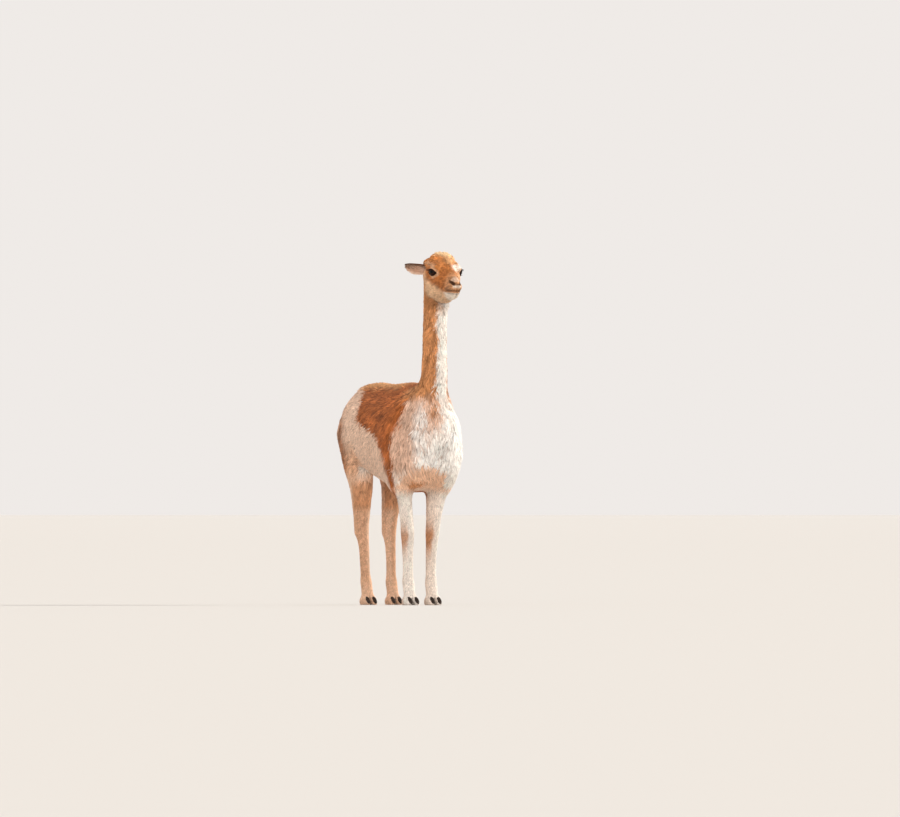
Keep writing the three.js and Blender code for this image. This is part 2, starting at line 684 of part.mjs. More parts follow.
// Tail
function makeTail(torso) {
  const field = (p) => tail(p.z, p.x, p.y);
  const [top, bottom] = [vector(0, 382, 735), vector(0, 404, 585)];
  const hair = rows(4, 6, (down, across) => {
    const turn = across * degrees(115);
    const from = top.clone().lerp(bottom, down * 1.05);
    return { from, way: vector(Math.sin(turn), Math.cos(turn), -0.1), lie: vector(0.1 * across, 0.05, -1) };
  });
  const made = wrap(field, capsule(top, bottom, 6, 2), 12);
  return largest(withLocks(made, field, LOCKS.tail, 41, hair).subtract(torso));
}

// A toe or its nail as rings of a loft, grown by some amount
function footLoft(stations, limb, left, outer, sides, grow = 0) {
  const side = left ? 1 : -1;
  const middle = limb.footSide + (outer ? CLEFT : -CLEFT);
  const heel = heelOf(limb, left);
  const rings = stations.map(({ at, low, high, half: width }) =>
    Array.from({ length: sides }, (_, k) => {
      const turn = (2 * Math.PI * k) / sides;
      const across = middle + Math.cos(turn) * (width + grow) * (left ? 1 : -1);
      const z = (low + high) / 2 + Math.sin(turn) * ((high - low) / 2 + grow);
      return vector(side * across, heel - at, z);
    }),
  );
  const end = ({ at, low, high }, shift) => vector(side * middle, heel - at - shift, (low + high) / 2);
  return skin(rings, end(stations[0], -grow), end(stations[stations.length - 1], grow));
}

// A leg with its two toes, flat under the soles
function makeLeg(limb, left) {
  const side = left ? 1 : -1;
  const space = outOfSpace(limb.space, left);
  const field = (p) => Math.max(body(p), space(p) - REACH);
  const { inner, armpit, outer, roof } = limb.space;
  const slant = Math.atan2(roof - armpit, outer - inner);
  const bottom = 34;
  const rings = Array.from({ length: limb.rings + 1 }, (_, n) => {
    const z = bottom + (limb.top + REACH - bottom) * (n / limb.rings);
    const tilt = slant * smoothstep(z, limb.top * 0.62, limb.top);
    const middle = (between(limb.leg, z, "low") + between(limb.leg, z, "high")) / 2;
    const from = vector(side * between(limb.leg, z, "side"), middle + carried(limb, left, z), z);
    return { from, axis: vector(-side * Math.sin(tilt), 0, Math.cos(tilt)) };
  });
  let made = wrap(field, rings, 14);
  for (const outerToe of [true, false]) made = made.add(footLoft(TOE, limb, left, outerToe, 10));
  for (const outerToe of [true, false]) made = made.subtract(footLoft(NAIL, limb, left, outerToe, 8, GAP));
  const floor = { point: vector(0, 0, 0), normal: vector(0, 0, 1) };
  return largest(made.intersect(spaceSolid(limb.space, left, 0)).subtract(half(floor, false)));
}

const TAN = 0xc4935f;
const CREAM = 0xe9dcc9;
const part = new THREE.Group();

function place(name, made, color, roughness = 0.95) {
  const mesh = new THREE.Mesh(geometryOf(made), new THREE.MeshStandardMaterial({ color, roughness }));
  mesh.name = name;
  part.add(mesh);
}

const torso = makeTorso();
place("torso", torso, CREAM);
place("neck", makeNeck(), TAN);
place("head", makeHead(), TAN);
place("tail", makeTail(torso), TAN);
const headGrown = headSkin(GAP, 17, 30);
for (const left of [true, false]) {
  const named = (name) => `${name}_${left ? "left" : "right"}`;
  place(named("ear"), makeEar(left, headGrown), TAN);
  place(named("eye"), eyeBall(left, EYE_RADIUS), 0x0c0a09, 0.15);
  for (const [prefix, limb] of Object.entries({ fore: FORE, hind: HIND })) {
    place(named(`${prefix}leg`), makeLeg(limb, left), CREAM);
    for (const outer of [true, false]) {
      const name = named(`toenail_${prefix}_${outer ? "outer" : "inner"}`);
      place(name, footLoft(NAIL, limb, left, outer, 8), 0x2a2420, 0.6);
    }
  }
}

const bounds = new THREE.Box3().setFromObject(part);
part.position.set(-(bounds.min.x + bounds.max.x) / 2, -(bounds.min.y + bounds.max.y) / 2, -bounds.min.z);

export default part;
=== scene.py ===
"""A vicuna in its coat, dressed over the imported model. Lengths here are millimetres in the frame that the
part was drawn in, with its left at +X, its nose at -Y and the floor at z = 0. They become metres in the
row frame when a mesh is made."""

import itertools
import math

import bpy
import numpy as np
from mathutils import Matrix, Vector


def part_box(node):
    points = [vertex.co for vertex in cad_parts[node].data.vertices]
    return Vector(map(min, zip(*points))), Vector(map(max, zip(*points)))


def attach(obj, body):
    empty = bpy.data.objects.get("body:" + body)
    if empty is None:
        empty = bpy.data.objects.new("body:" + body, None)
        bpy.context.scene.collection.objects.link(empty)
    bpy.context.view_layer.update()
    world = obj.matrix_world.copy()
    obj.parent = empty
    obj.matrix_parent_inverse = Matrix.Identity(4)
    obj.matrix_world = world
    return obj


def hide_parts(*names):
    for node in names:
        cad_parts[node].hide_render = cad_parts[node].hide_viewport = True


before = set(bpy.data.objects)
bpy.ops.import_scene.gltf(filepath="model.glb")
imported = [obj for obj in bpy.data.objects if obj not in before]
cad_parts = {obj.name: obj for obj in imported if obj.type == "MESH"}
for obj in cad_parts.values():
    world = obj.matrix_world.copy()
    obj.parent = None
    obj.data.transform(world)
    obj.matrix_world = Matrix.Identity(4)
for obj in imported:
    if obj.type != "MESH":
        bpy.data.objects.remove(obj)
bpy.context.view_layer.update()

# Camera: far off with a long lens, low over the floor, at the animal's right and front
CAMERA = {"azimuth": 22, "distance": 110, "height": 0.36, "span": 3.358, "across": 0.1903, "up": 0.7332}


def camera_axes():
    """Level ways to the camera's right and away from it."""
    turn = math.radians(CAMERA["azimuth"])
    return Vector((math.cos(turn), -math.sin(turn), 0)), Vector((math.sin(turn), math.cos(turn), 0))


def added(name, data):
    thing = bpy.data.objects.new(name, data)
    bpy.context.scene.collection.objects.link(thing)
    return thing


def aim(thing, place, way):
    thing.location = place
    thing.rotation_euler = way.to_track_quat("-Z", "Y").to_euler()


def make_camera():
    right, away = camera_axes()
    target = right * CAMERA["across"] + Vector((0, SHIFT[1] / 1000, CAMERA["up"]))
    place = target - away * CAMERA["distance"]
    place.z = CAMERA["height"]
    data = bpy.data.cameras.new("camera")
    data.lens = data.sensor_width * (target - place).length / CAMERA["span"]
    data.clip_end = 4000
    camera = added("camera", data)
    aim(camera, place, target - place)
    bpy.context.scene.camera = camera


# Driving sizes, as the part has them
HEAD_AT = np.array([7.0, -452.0, 1238.0])
HEAD_DROP = math.radians(10)
EYE_RADIUS = 19
EYE_AT = (-5, 45.5, 1)
EYE_OUT, EYE_UP = math.radians(62), math.radians(5)
LIDS = {"long": 19, "rise": 9, "fall": 12, "droop": 2}
LEFT_HIND_BACK = 16
CLEFT = 13.5

# Stations: place along the form, its low and high side, half its width, its side shift and its turn
TRUNK = [
    (-394, 640, 690, 22), (-372, 562, 745, 70), (-335, 492, 788, 104), (-280, 442, 814, 130),
    (-200, 420, 822, 143), (-100, 426, 819, 151), (0, 442, 815, 154), (100, 468, 817, 150),
    (190, 502, 821, 139), (260, 527, 814, 126), (320, 550, 790, 109), (362, 578, 754, 85),
    (388, 622, 712, 52), (398, 655, 680, 14),
]
NECK = [
    (640, -384, -180, 70, 0), (720, -396, -215, 62, 1), (790, -400, -252, 55, 2),
    (850, -399, -283, 50.5, 3), (920, -398, -296, 48, 3), (1000, -399, -301, 46.5, 3),
    (1093, -403, -303, 46, 4), (1150, -408, -304, 46, 4), (1200, -412, -306, 46, 5),
    (1240, -405, -314, 44, 5),
]
FORELEG = [
    (600, -306, -136, 46, 92, 0), (520, -292, -140, 42, 84, 6), (460, -274, -150, 36, 73, 12),
    (425, -264, -158, 31, 66, 16), (384, -256, -165, 28, 61, 17), (345, -248, -172, 26, 57, 17),
    (310, -243, -178, 24.5, 53, 15), (275, -241, -180, 25.5, 50.5, 10), (247, -235, -182, 24, 49, 6),
    (215, -228, -183, 21.5, 48, 4), (150, -224, -184, 19.5, 46, 4), (110, -225, -184, 20, 46, 4),
    (85, -229, -183, 22.5, 45.5, 2), (60, -236, -188, 22, 45, 0), (30, -246, -196, 22, 45, 0),
]
HINDLEG = [
    (690, 162, 372, 54, 70), (620, 148, 372, 54, 71), (560, 138, 356, 51, 70), (500, 136, 328, 46, 68),
    (450, 142, 292, 40, 66), (410, 155, 280, 36, 64), (370, 170, 272, 33, 62), (330, 184, 268, 29.5, 60),
    (295, 192, 266, 27, 59), (268, 196, 262, 26, 58), (245, 194, 243, 22.5, 57), (215, 190, 230, 20, 56.5),
    (160, 185, 222, 18.5, 56), (115, 181, 219, 18.5, 55), (85, 173, 217, 22, 54), (60, 163, 211, 21.5, 54),
    (30, 153, 205, 22, 54),
]
TOE = [(0, 2, 18, 5), (8, -5, 30, 11), (32, -6, 40, 13), (52, -6, 35, 12.5), (66, -5, 25, 11), (76, 1, 13, 5)]
NAIL = [(48, 17, 30, 5), (56, 13, 31.5, 7.5), (68, 8, 25.5, 7.5), (78, 5, 16.5, 5.5), (84, 4.5, 8.5, 2)]
TAIL = [
    (766, 345, 385, 20), (742, 364, 412, 27), (705, 380, 428, 30), (650, 382, 434, 32), (600, 380, 431, 29),
    (565, 384, 421, 21), (548, 395, 407, 7),
]
SKULL = [
    (-112, -40, 12, 36), (-98, -66, 32, 47), (-78, -90, 48, 53), (-52, -106, 59, 56), (-25, -110, 61, 54),
    (0, -109, 53, 49), (25, -104, 39, 41), (50, -98, 23, 33), (75, -92, 9, 26.5), (93, -87, -1, 23.5),
    (104, -80, -8, 19), (112, -69, -19, 12), (116, -56, -34, 4),
]
FORE = {"leg": FORELEG, "heel": -190, "side": 45}
HIND = {"leg": HINDLEG, "heel": 210, "side": 54}

# Rounded forms that swell the lofts: middle, radii and blend
BODY_FORMS = [
    ((90, -216, 552), (46, 92, 138), 70),  # shoulder
    ((0, -330, 600), (76, 62, 118), 110),  # breast
    ((62, 246, 672), (56, 94, 90), 70),  # hip
]
HEAD_FORMS = [
    ((-50, 0, 40), (42, 53, 27), 18),  # crown
    ((-2, 36, 18), (34, 20, 23), 16),  # brow
    ((4, 35, -20), (36, 17, 22), 12),  # cheekbone
    ((-26, 33, -50), (40, 20, 40), 16),  # cheek
    ((99, 10, -38), (19, 15, 16), 7),  # upper lip
    ((109, 0, -22), (12, 16, 11), 7),  # nose
    ((92, 0, -62), (18, 16, 11), 6),  # lower lip
    ((-82, 41, 22), (25, 20, 22), 14),  # ear's base
]
# How wide the forms blend where they meet
BLENDS = {"neck": 60, "leg": 30, "head": 26, "tail": 12, "toe": 7, "lid": 5}
NOSTRIL = np.array([(89, 25, -18), (102, 19.5, -19.5), (113, 11.5, -24.5)])
LIP_CLEFT = np.array([(119, 0, -27), (121, 0, -38), (118, 0, -52)])
MOUTH = np.array([(52, -58), (72, -57), (92, -54), (112, -53), (132, -53)])

# The head's axes in the drawing's frame: forward, side, up
HEAD_AXES = np.array([
    (0, -math.cos(HEAD_DROP), -math.sin(HEAD_DROP)),
    (1, 0, 0),
    (0, -math.sin(HEAD_DROP), math.cos(HEAD_DROP)),
])


def from_head(place):
    return np.array(place) @ HEAD_AXES + HEAD_AT


def to_head(p):
    return (p - HEAD_AT) @ HEAD_AXES.T


def half_head(p):
    """Places in the head's frame, with its right side laid over its left."""
    own = to_head(p)
    own[:, 1] = np.abs(own[:, 1])
    return own


eye_low, eye_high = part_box("eye_left")
SHIFT = np.array((eye_low + eye_high) / 2) * 1000 - from_head(EYE_AT)
SHIFT[2] = 0
make_camera()


def smooth(value, low, high):
    t = np.clip((value - low) / (high - low), 0, 1)
    return t * t * (3 - 2 * t)


def fall(value, high, low):
    return 1 - smooth(value, high, low)


def band(value, none, full, fades, gone):
    return smooth(value, none, full) * fall(value, fades, gone)


def hump(value, middle, width):
    return np.exp(-(((value - middle) / width) ** 2))


def layered(base, layers):
    """A colour or way at each point, carried towards each layer's own by its amount."""
    for own, amount in layers:
        own = linear(own) if isinstance(own, str) else np.array(own)
        base = base + (own - base) * np.clip(amount, 0, 1)[:, None]
    return base


def between(stations, at):
    """Each column's value at places: a cubic whose slope at a station is that of its neighbours."""
    rows = np.array(sorted(stations), float)
    places, values = rows[:, 0], rows[:, 1:]
    last = len(rows) - 1
    before = np.maximum(np.arange(last + 1) - 1, 0)
    after = np.minimum(np.arange(last + 1) + 1, last)
    slopes = (values[after] - values[before]) / (places[after] - places[before])[:, None]
    i = np.clip(np.searchsorted(places, at, "right") - 1, 0, last - 1)
    step = (places[i + 1] - places[i])[:, None]
    t = np.clip((at - places[i])[:, None] / step, 0, 1)
    t2, t3 = t * t, t * t * t
    return ((2 * t3 - 3 * t2 + 1) * values[i] + (t3 - 2 * t2 + t) * step * slopes[i]
            + (3 * t2 - 2 * t3) * values[i + 1] + (t3 - t2) * step * slopes[i + 1])


def to_ellipse(place, radii):
    near = np.sqrt(sum((p / r) ** 2 for p, r in zip(place, radii)))
    steep = np.sqrt(sum((p / (r * r)) ** 2 for p, r in zip(place, radii)))
    return near * (near - 1) / np.maximum(steep, 1e-9)


def loft(stations, along, across, over):
    """Distance to a body lofted through stations."""
    ends = [stations[0][0], stations[-1][0]]
    at = np.clip(along, min(ends), max(ends))
    low, high, half, *more = between(stations, at).T
    middle = (low + high) / 2
    across = across - (more[0] if more else 0)
    turn = np.radians(more[1]) if len(more) > 1 else np.zeros(len(at))
    wide = across * np.cos(turn) + (over - middle) * np.sin(turn)
    long = (over - middle) * np.cos(turn) - across * np.sin(turn)
    section = to_ellipse((wide, long), (half, (high - low) / 2))
    return np.where(along == at, section, np.hypot(np.maximum(section, 0), along - at))


def join(a, b, blend):
    near = np.maximum(blend - np.abs(a - b), 0) / blend
    return np.minimum(a, b) - near * near * blend / 4


def swell(forms, distance, place, mirrored):
    """A distance with rounded forms joined on, of which those off the middle are on both sides."""
    for middle, radii, blend in forms:
        own = [np.abs(v) if i == mirrored and middle[i] else v for i, v in enumerate(place)]
        distance = join(distance, to_ellipse([v - m for v, m in zip(own, middle)], radii), blend)
    return distance


def carried(limb, left, z):
    """How far back the left hind leg stands."""
    return LEFT_HIND_BACK * fall(z, 300, 600) * left if limb is HIND else 0


def head_field(p):
    f, s, u = to_head(p).T
    return swell(HEAD_FORMS, loft(SKULL, f, s, u), (f, s, u), 1)


def trunk_field(p):
    return swell(BODY_FORMS, loft(TRUNK, p[:, 1], p[:, 0], p[:, 2]), p.T, 0)


def upright_field(p, stations):
    return loft(stations, p[:, 2], p[:, 0], p[:, 1])


def leg_field(p, limb):
    x, y, z = p.T
    return loft(limb["leg"], z, np.abs(x), y - carried(limb, x > 0, z))


def toe_field(p, limb):
    x, y, z = p.T
    heel = limb["heel"] + carried(limb, x > 0, 0)
    sides = (limb["side"] - CLEFT, limb["side"] + CLEFT)
    return np.minimum(*(loft(TOE, heel - y, np.abs(x) - side, z) for side in sides))


def where(mask, work, p, *more):
    """A field worked out for the points in a mask, and far off for the rest."""
    found = np.full(len(p), 1e3)
    if mask.any():
        found[mask] = work(p[mask], *more)
    return found


# The part's node that each region of the coat stands for
NODES = {
    "trunk": "torso", "neck": "neck", "head": "head", "tail": "tail", "fore_left": "foreleg_left",
    "fore_right": "foreleg_right", "hind_left": "hindleg_left", "hind_right": "hindleg_right",
}
REGIONS = list(NODES)


def forms(p):
    """Distance to each form of the outer surface, in the regions' order."""
    x, y, z = p.T
    parts = [
        where((z > 330) & (z < 900), trunk_field, p),
        where(z > 560, upright_field, p, NECK),
        where(z > 1000, head_field, p),
        where((y > 250) & (z > 450), upright_field, p, TAIL),
    ]
    for limb, here in ((FORE, y < 0), (HIND, y >= 0)):
        for side in (x > 0, x <= 0):
            mask = here & side & (z < 760)
            leg, toes = where(mask, leg_field, p, limb), where(mask & (z < 80), toe_field, p, limb)
            parts.append(join(leg, toes, BLENDS["toe"]))
    return np.stack(parts)


# Coat's depth over the skin, of which the breast's, cheek's and crown's are added to what is below them
COAT = {"foot": 2.5, "leg": 11, "trunk": 13, "neck": 9, "breast": 5, "face": 1.8, "cheek": 4.4, "crown": 6}
# How far the coat is shorter than the part's surface, or longer where below zero
TRIM = {"rump": 12, "chest": 14, "crown": 5, "left_crown": 4, "brow": 6, "back": -6}
# How far tufts stand past the coat's surface
FLUFF = {"back": 7, "breast": 3, "quiff": 7, "jaw": 9}


def trim(p):
    """What the coat is shorter by, on the rump, the chest's sides and the head, or longer by on the back."""
    x, y, z = p.T
    f, s, u = to_head(p).T
    rump = TRIM["rump"] * smooth(y, 215, 275) * band(z, 625, 690, 780, 815) * smooth(np.abs(x), 40, 90)
    chest = TRIM["chest"] * smooth(-y, 262, 305) * band(z, 545, 650, 760, 840) * smooth(np.abs(x), 45, 85)
    crown = smooth(u, 44, 60) * (TRIM["crown"] + TRIM["left_crown"] * smooth(s, 4, 22))
    brow = TRIM["brow"] * smooth(np.abs(s), 34, 46) * band(u, 20, 32, 44, 60)
    back = TRIM["back"] * smooth(z, 780, 812) * band(y, -250, -150, 230, 320)
    return rump + chest + (z > 1100) * (crown + brow) + back


def fluff(p):
    """How far tufts stand up on the back, the breast, the quiff and the jaw."""
    _, y, z = p.T
    f, s, u = to_head(p).T
    back = FLUFF["back"] * smooth(z, 780, 812) * band(y, -260, -160, 240, 330)
    breast = FLUFF["breast"] * smooth(-y, 240, 320) * band(z, 440, 520, 700, 800)
    quiff = FLUFF["quiff"] * smooth(u, 42, 56) * fall(np.abs(s), 16, 34) * fall(f, -40, -14)
    jaw = FLUFF["jaw"] * band(f, -80, -50, 90, 106) * fall(u + 0.35 * f, -92, -66) * smooth(u, -138, -112)
    return back + breast + (z > 1100) * (quiff + jaw)


def body(p):
    """Distance to the coat's outer surface."""
    trunk, neck, head, tail, *legs = forms(p)
    found = join(trunk, neck, BLENDS["neck"])
    legs = np.minimum.reduce(legs)
    found = np.where(p[:, 2] < 760, join(found, legs, BLENDS["leg"]), found)
    found = np.where(p[:, 2] > 1000, join(found, head, BLENDS["head"]), found)
    return join(found, tail, BLENDS["tail"]) + trim(p)


def slope(field, p, step=0.6):
    """The field's gradient."""
    return np.stack([(field(p + way) - field(p - way)) / (2 * step) for way in np.eye(3) * step], axis=1)


def unit(v):
    return v / np.maximum(np.linalg.norm(v, axis=1, keepdims=True), 1e-9)


def noise(p, size, seed):
    """Smooth numbers from -1 to 1 that vary over a length."""
    q = p / size + seed * 17.31
    cell = np.floor(q)
    t = q - cell
    t = t * t * (3 - 2 * t)
    total = np.zeros(len(p))
    for corner in itertools.product((0, 1), repeat=3):
        step = np.array(corner[::-1])
        value = np.sin((cell + step) @ np.array([127.1, 311.7, 74.7])) * 43758.5453
        total += np.prod(np.where(step, t, 1 - t), axis=1) * (value - np.floor(value))
    return total * 2 - 1


def strokes(p, way, size, seed):
    """Noise drawn out along a way."""
    way = np.array(way) / np.linalg.norm(way)
    return noise(p - 0.8 * (p @ way)[:, None] * way, size, seed)


def fade(p, line, radius):
    """1 on a line of points, falling to 0 at a radius from it."""
    nearest = np.full(len(p), 1e3)
    for a, b in zip(line[:-1], line[1:]):
        along = np.clip((p - a) @ (b - a) / ((b - a) @ (b - a)), 0, 1)
        nearest = np.minimum(nearest, np.linalg.norm(p - a - along[:, None] * (b - a), axis=1))
    return fall(nearest, 0, radius)


def eye_frame(side):
    """An eye's middle and its axes: forward along the lids, up, and out along its sight."""
    level = math.cos(EYE_UP)
    sight = np.array([math.cos(EYE_OUT) * level, side * math.sin(EYE_OUT) * level, math.sin(EYE_UP)])
    rise = np.array([0, 0, 1.0]) - sight[2] * sight
    rise /= np.linalg.norm(rise)
    ahead = np.cross(rise, sight) * -side
    return from_head(EYE_AT * np.array([1, side, 1])), np.array([ahead, rise, sight]) @ HEAD_AXES


def lid_edges(ahead):
    """Heights of the upper and lower lid's edge along the eye."""
    t = np.linspace(0, 1, 41)
    edges = []
    for high, lean in ((LIDS["rise"], -2), (-LIDS["fall"], 2)):
        x = (t * t - (1 - t) ** 2) * LIDS["long"] + 2 * t * (1 - t) * lean
        edges.append(np.interp(ahead, x, 4 * t * (1 - t) * high - t * t * LIDS["droop"]))
    return edges


def lid_gape(p, side):
    """How far inside the lids' opening a point lies, seen along the eye's sight, how far out and up."""
    middle, axes = eye_frame(side)
    ahead, up, out = ((p - middle) @ axes.T).T
    upper, lower = lid_edges(ahead)
    gape = np.minimum(upper - up, up - lower)
    past = np.maximum(np.abs(ahead) - LIDS["long"], 0)
    return np.where(past > 0, -np.hypot(past, np.maximum(-gape, 0)), gape), out, up


def over_mouth(own):
    """Height over the mouth's line in the head's frame."""
    return own[:, 2] - np.interp(own[:, 0], *MOUTH.T)


def mixed(a, b, share):
    return a * (1 - share) + b * share


def coat_depth(p):
    """How far the skin lies inside the coat's outer surface."""
    _, y, z = p.T
    own = half_head(p)
    f, _, u = own.T
    legs = COAT["foot"] + (COAT["leg"] - COAT["foot"]) * smooth(z, 250, 560)
    depth = mixed(legs, COAT["trunk"], smooth(z, 520, 640))
    depth = depth + COAT["breast"] * smooth(-y, 230, 330) * band(z, 410, 470, 620, 760)
    depth = mixed(depth, COAT["neck"], smooth(z, 800, 900))
    near_eye = fall(np.linalg.norm(own - EYE_AT, axis=1), 20, 44)
    face = COAT["face"] + COAT["cheek"] * fall(f, -50, 66) * (1 - 0.8 * near_eye)
    crown = COAT["crown"] * smooth(u, 34, 54) * fall(f, -20, 22)
    depth = mixed(depth, face + crown, smooth(f + 0.6 * u, -118, -70) * (z > 1080))
    return mixed(depth, COAT["trunk"], smooth(y, 372, 392) * smooth(z, 480, 520))


def skin(p):
    """Distance to the skin: inside the coat's surface, with sockets, lids, nostrils, lips and toes."""
    found = body(p) + coat_depth(p)
    head = p[:, 2] > 1100
    if head.any():
        found[head] = head_detail(p[head], found[head])
    return np.maximum(found, 0.6 - p[:, 2])


def head_detail(p, found):
    for side in (1, -1):
        ball = np.linalg.norm(p - eye_frame(side)[0], axis=1) - EYE_RADIUS
        gape, out, up = lid_gape(p, side)
        near = smooth(out, 2, 8)
        rim = 0.9 * hump(gape, -1.2, 1.1) * (ball < 8)
        crease = 1.1 * hump(gape, -7, 1.3) * (up > 0) * (ball < 14)
        opening = 6 * smooth(gape, -0.5, 0.5) * (ball < 9)
        found = join(found, ball - 2, BLENDS["lid"]) + near * (crease + opening - rim)
    own = half_head(p)
    found = found + 7 * fade(own, NOSTRIL, 6.2) ** 1.3 + 3 * fade(own, LIP_CLEFT, 3.4)
    over = over_mouth(own)
    return found + (3.6 * hump(over, 0, 1.5) - 0.9 * hump(over, 4, 3)) * smooth(own[:, 0], 46, 62)


CELL_CORNERS = np.array(list(itertools.product((0, 1), repeat=3)))


def cell_points(values, cells):
    """A point for each grid cell, amid the places where the surface crosses the cell's edges."""
    held = np.stack([values[tuple((cells + corner).T)] for corner in CELL_CORNERS], axis=1)
    total, crossings = np.zeros((len(cells), 3)), np.zeros(len(cells))
    for a, b in itertools.combinations(range(8), 2):
        way = CELL_CORNERS[b] - CELL_CORNERS[a]
        if np.abs(way).sum() == 1:
            crossed = (held[:, a] < 0) != (held[:, b] < 0)
            t = held[:, a] / np.where(crossed, held[:, a] - held[:, b], 1)
            total += np.where(crossed[:, None], CELL_CORNERS[a] + t[:, None] * way, 0)
            crossings += crossed
    return cells + total / crossings[:, None]


def cell_quads(inside, number):
    """A quad between the four cells round each grid edge that the surface crosses."""
    quads = []
    for axis in range(3):
        edges = np.argwhere(np.diff(inside, axis=axis))
        sides = [i for i in range(3) if i != axis]
        kept = (edges[:, sides] > 0) & (edges[:, sides] < np.array(inside.shape)[sides] - 1)
        edges = edges[kept.all(axis=1)]
        around = []
        for offset in ((0, 0), (1, 0), (1, 1), (0, 1)):
            cell = edges.copy()
            cell[:, sides] -= offset
            around.append(number[tuple(cell.T)])
        quad = np.stack(around, axis=1)
        flip = inside[tuple(edges.T)] == (axis == 1)
        quad[flip] = quad[flip][:, ::-1]
        quads.append(quad)
    return np.concatenate(quads)


def surface_net(field, low, high, step):
    """Points and quads over a field's surface, from a grid."""
    axes = [np.arange(a, b + step, step) for a, b in zip(low, high)]
    grid = np.stack(np.meshgrid(*axes, indexing="ij"), axis=-1).reshape(-1, 3)
    values = np.concatenate([field(part) for part in np.array_split(grid, 24)])
    values = values.reshape([len(axis) for axis in axes])
    inside = values < 0
    cuts = [slice(None, -1), slice(1, None)]
    count = sum(inside[tuple(cuts[i] for i in corner)].astype(int) for corner in CELL_CORNERS)
    cells = np.argwhere((count > 0) & (count < 8))
    number = np.full(count.shape, -1)
    number[tuple(cells.T)] = np.arange(len(cells))
    return np.array(low) + step * cell_points(values, cells), cell_quads(inside, number)


def settle(points, rounds):
    """Moves points onto the skin."""
    for _ in range(rounds):
        way = slope(skin, points)
        step = skin(points) / np.maximum((way * way).sum(axis=1), 0.15)
        points = points - np.clip(step, -4, 4)[:, None] * way
    return points


def refine(points, tris, level):
    """Splits the triangles whose edges are wanted finer, with no gaps left along the border."""
    edges = np.sort(np.concatenate([tris[:, [0, 1]], tris[:, [1, 2]], tris[:, [2, 0]]]), axis=1)
    pairs, back = np.unique(edges, axis=0, return_inverse=True)
    middles = (points[pairs[:, 0]] + points[pairs[:, 1]]) / 2
    split = fineness(middles) >= level
    number = np.full(len(pairs), -1)
    number[split] = len(points) + np.arange(split.sum())
    points = np.concatenate([points, settle(middles[split], 2)])
    mids = number[back.reshape(3, -1).T]
    has = mids >= 0
    many = has.sum(axis=1)
    both = np.concatenate([tris, mids], axis=1)
    cuts = [(many == 0, [(0, 1, 2)]), (many == 3, [(0, 3, 5), (3, 1, 4), (5, 4, 2), (3, 4, 5)])]
    for a, b, c in ((0, 1, 2), (1, 2, 0), (2, 0, 1)):
        cuts.append(((many == 1) & has[:, a], [(a, a + 3, c), (a + 3, b, c)]))
        cuts.append(((many == 2) & ~has[:, a], [(a, b, b + 3), (a, b + 3, c + 3), (c + 3, b + 3, c)]))
    return points, np.concatenate([both[chosen][:, pick] for chosen, picks in cuts for pick in picks])


def fineness(p):
    """How many times the skin's triangles are halved."""
    own = half_head(p)
    f = own[:, 0]
    head = (p[:, 2] > 1090) & (f > -100)
    level = np.where(head, np.where(f > -45, 2, 1), p[:, 2] < 75)
    near = np.linalg.norm(own - EYE_AT, axis=1) < 32
    lips = (np.abs(over_mouth(own)) < 6) & (f > 48)
    nose = fade(own, NOSTRIL, 11) > 0.02
    return np.where(head & (near | lips | nose), 3, level)


SKIN_STEP = 6.0
SKIN_LOW, SKIN_HIGH = (-176, -610, -9), (176, 452, 1329)


def make_skin():
    points, quads = surface_net(skin, SKIN_LOW, SKIN_HIGH, SKIN_STEP)
    tris = np.concatenate([quads[:, [0, 1, 2]], quads[:, [0, 2, 3]]])
    points = settle(points, 3)
    for level in (1, 2, 3):
        points, tris = refine(points, tris, level)
    return settle(points, 1), outward(points, tris)


# Charts of the bake's atlas: lowest u and v, highest u and v
CHARTS = {
    "trunk": (0.01, 0.01, 0.49, 0.50), "neck": (0.51, 0.01, 0.72, 0.36), "tail": (0.74, 0.01, 0.86, 0.20),
    "head": (0.51, 0.38, 0.99, 0.99), "fore_left": (0.01, 0.52, 0.12, 0.99),
    "fore_right": (0.13, 0.52, 0.24, 0.99), "hind_left": (0.25, 0.52, 0.36, 0.99),
    "hind_right": (0.37, 0.52, 0.48, 0.99), "ear_left": (0.74, 0.22, 0.86, 0.36),
    "ear_right": (0.87, 0.22, 0.99, 0.36), "rest": (0.87, 0.01, 0.99, 0.20),
}


def in_chart(name, across, along):
    """Places in the atlas by shares of a chart's width and height."""
    u0, v0, u1, v1 = CHARTS[name]
    return np.stack([u0 + (u1 - u0) * across, v0 + (v1 - v0) * along], axis=-1)


def unrolled(name, p):
    """Turns round a region, from -0.5 to 0.5, and the share of its length."""
    x, y, z = p.T
    if name == "trunk":
        across, over, share = x, z - 650, (y + 400) / 810
    elif name == "neck":
        across, over, share = x - 3, -(y + 350), (z - 600) / 700
    elif name == "tail":
        across, over, share = x, y - 400, (z - 545) / 230
    elif name == "head":
        f, s, u = to_head(p).T
        across, over, share = s, u + 30, (f + 118) / 242
    else:
        limb = FORE if name.startswith("fore") else HIND
        side = 1 if name.endswith("left") else -1
        low, high, _, middle, *_ = between(limb["leg"], z).T
        across, share = x - side * middle, z / 780
        over = (low + high) / 2 - (y - carried(limb, side > 0, z))
    return np.arctan2(across, over) / math.tau, share


def on_unwrap(name, turn, share):
    """Places in a region's chart, which leaves a margin for what crosses its seam."""
    return in_chart(name, 0.06 + 0.88 * (turn + 0.5), np.clip(share, 0, 1))


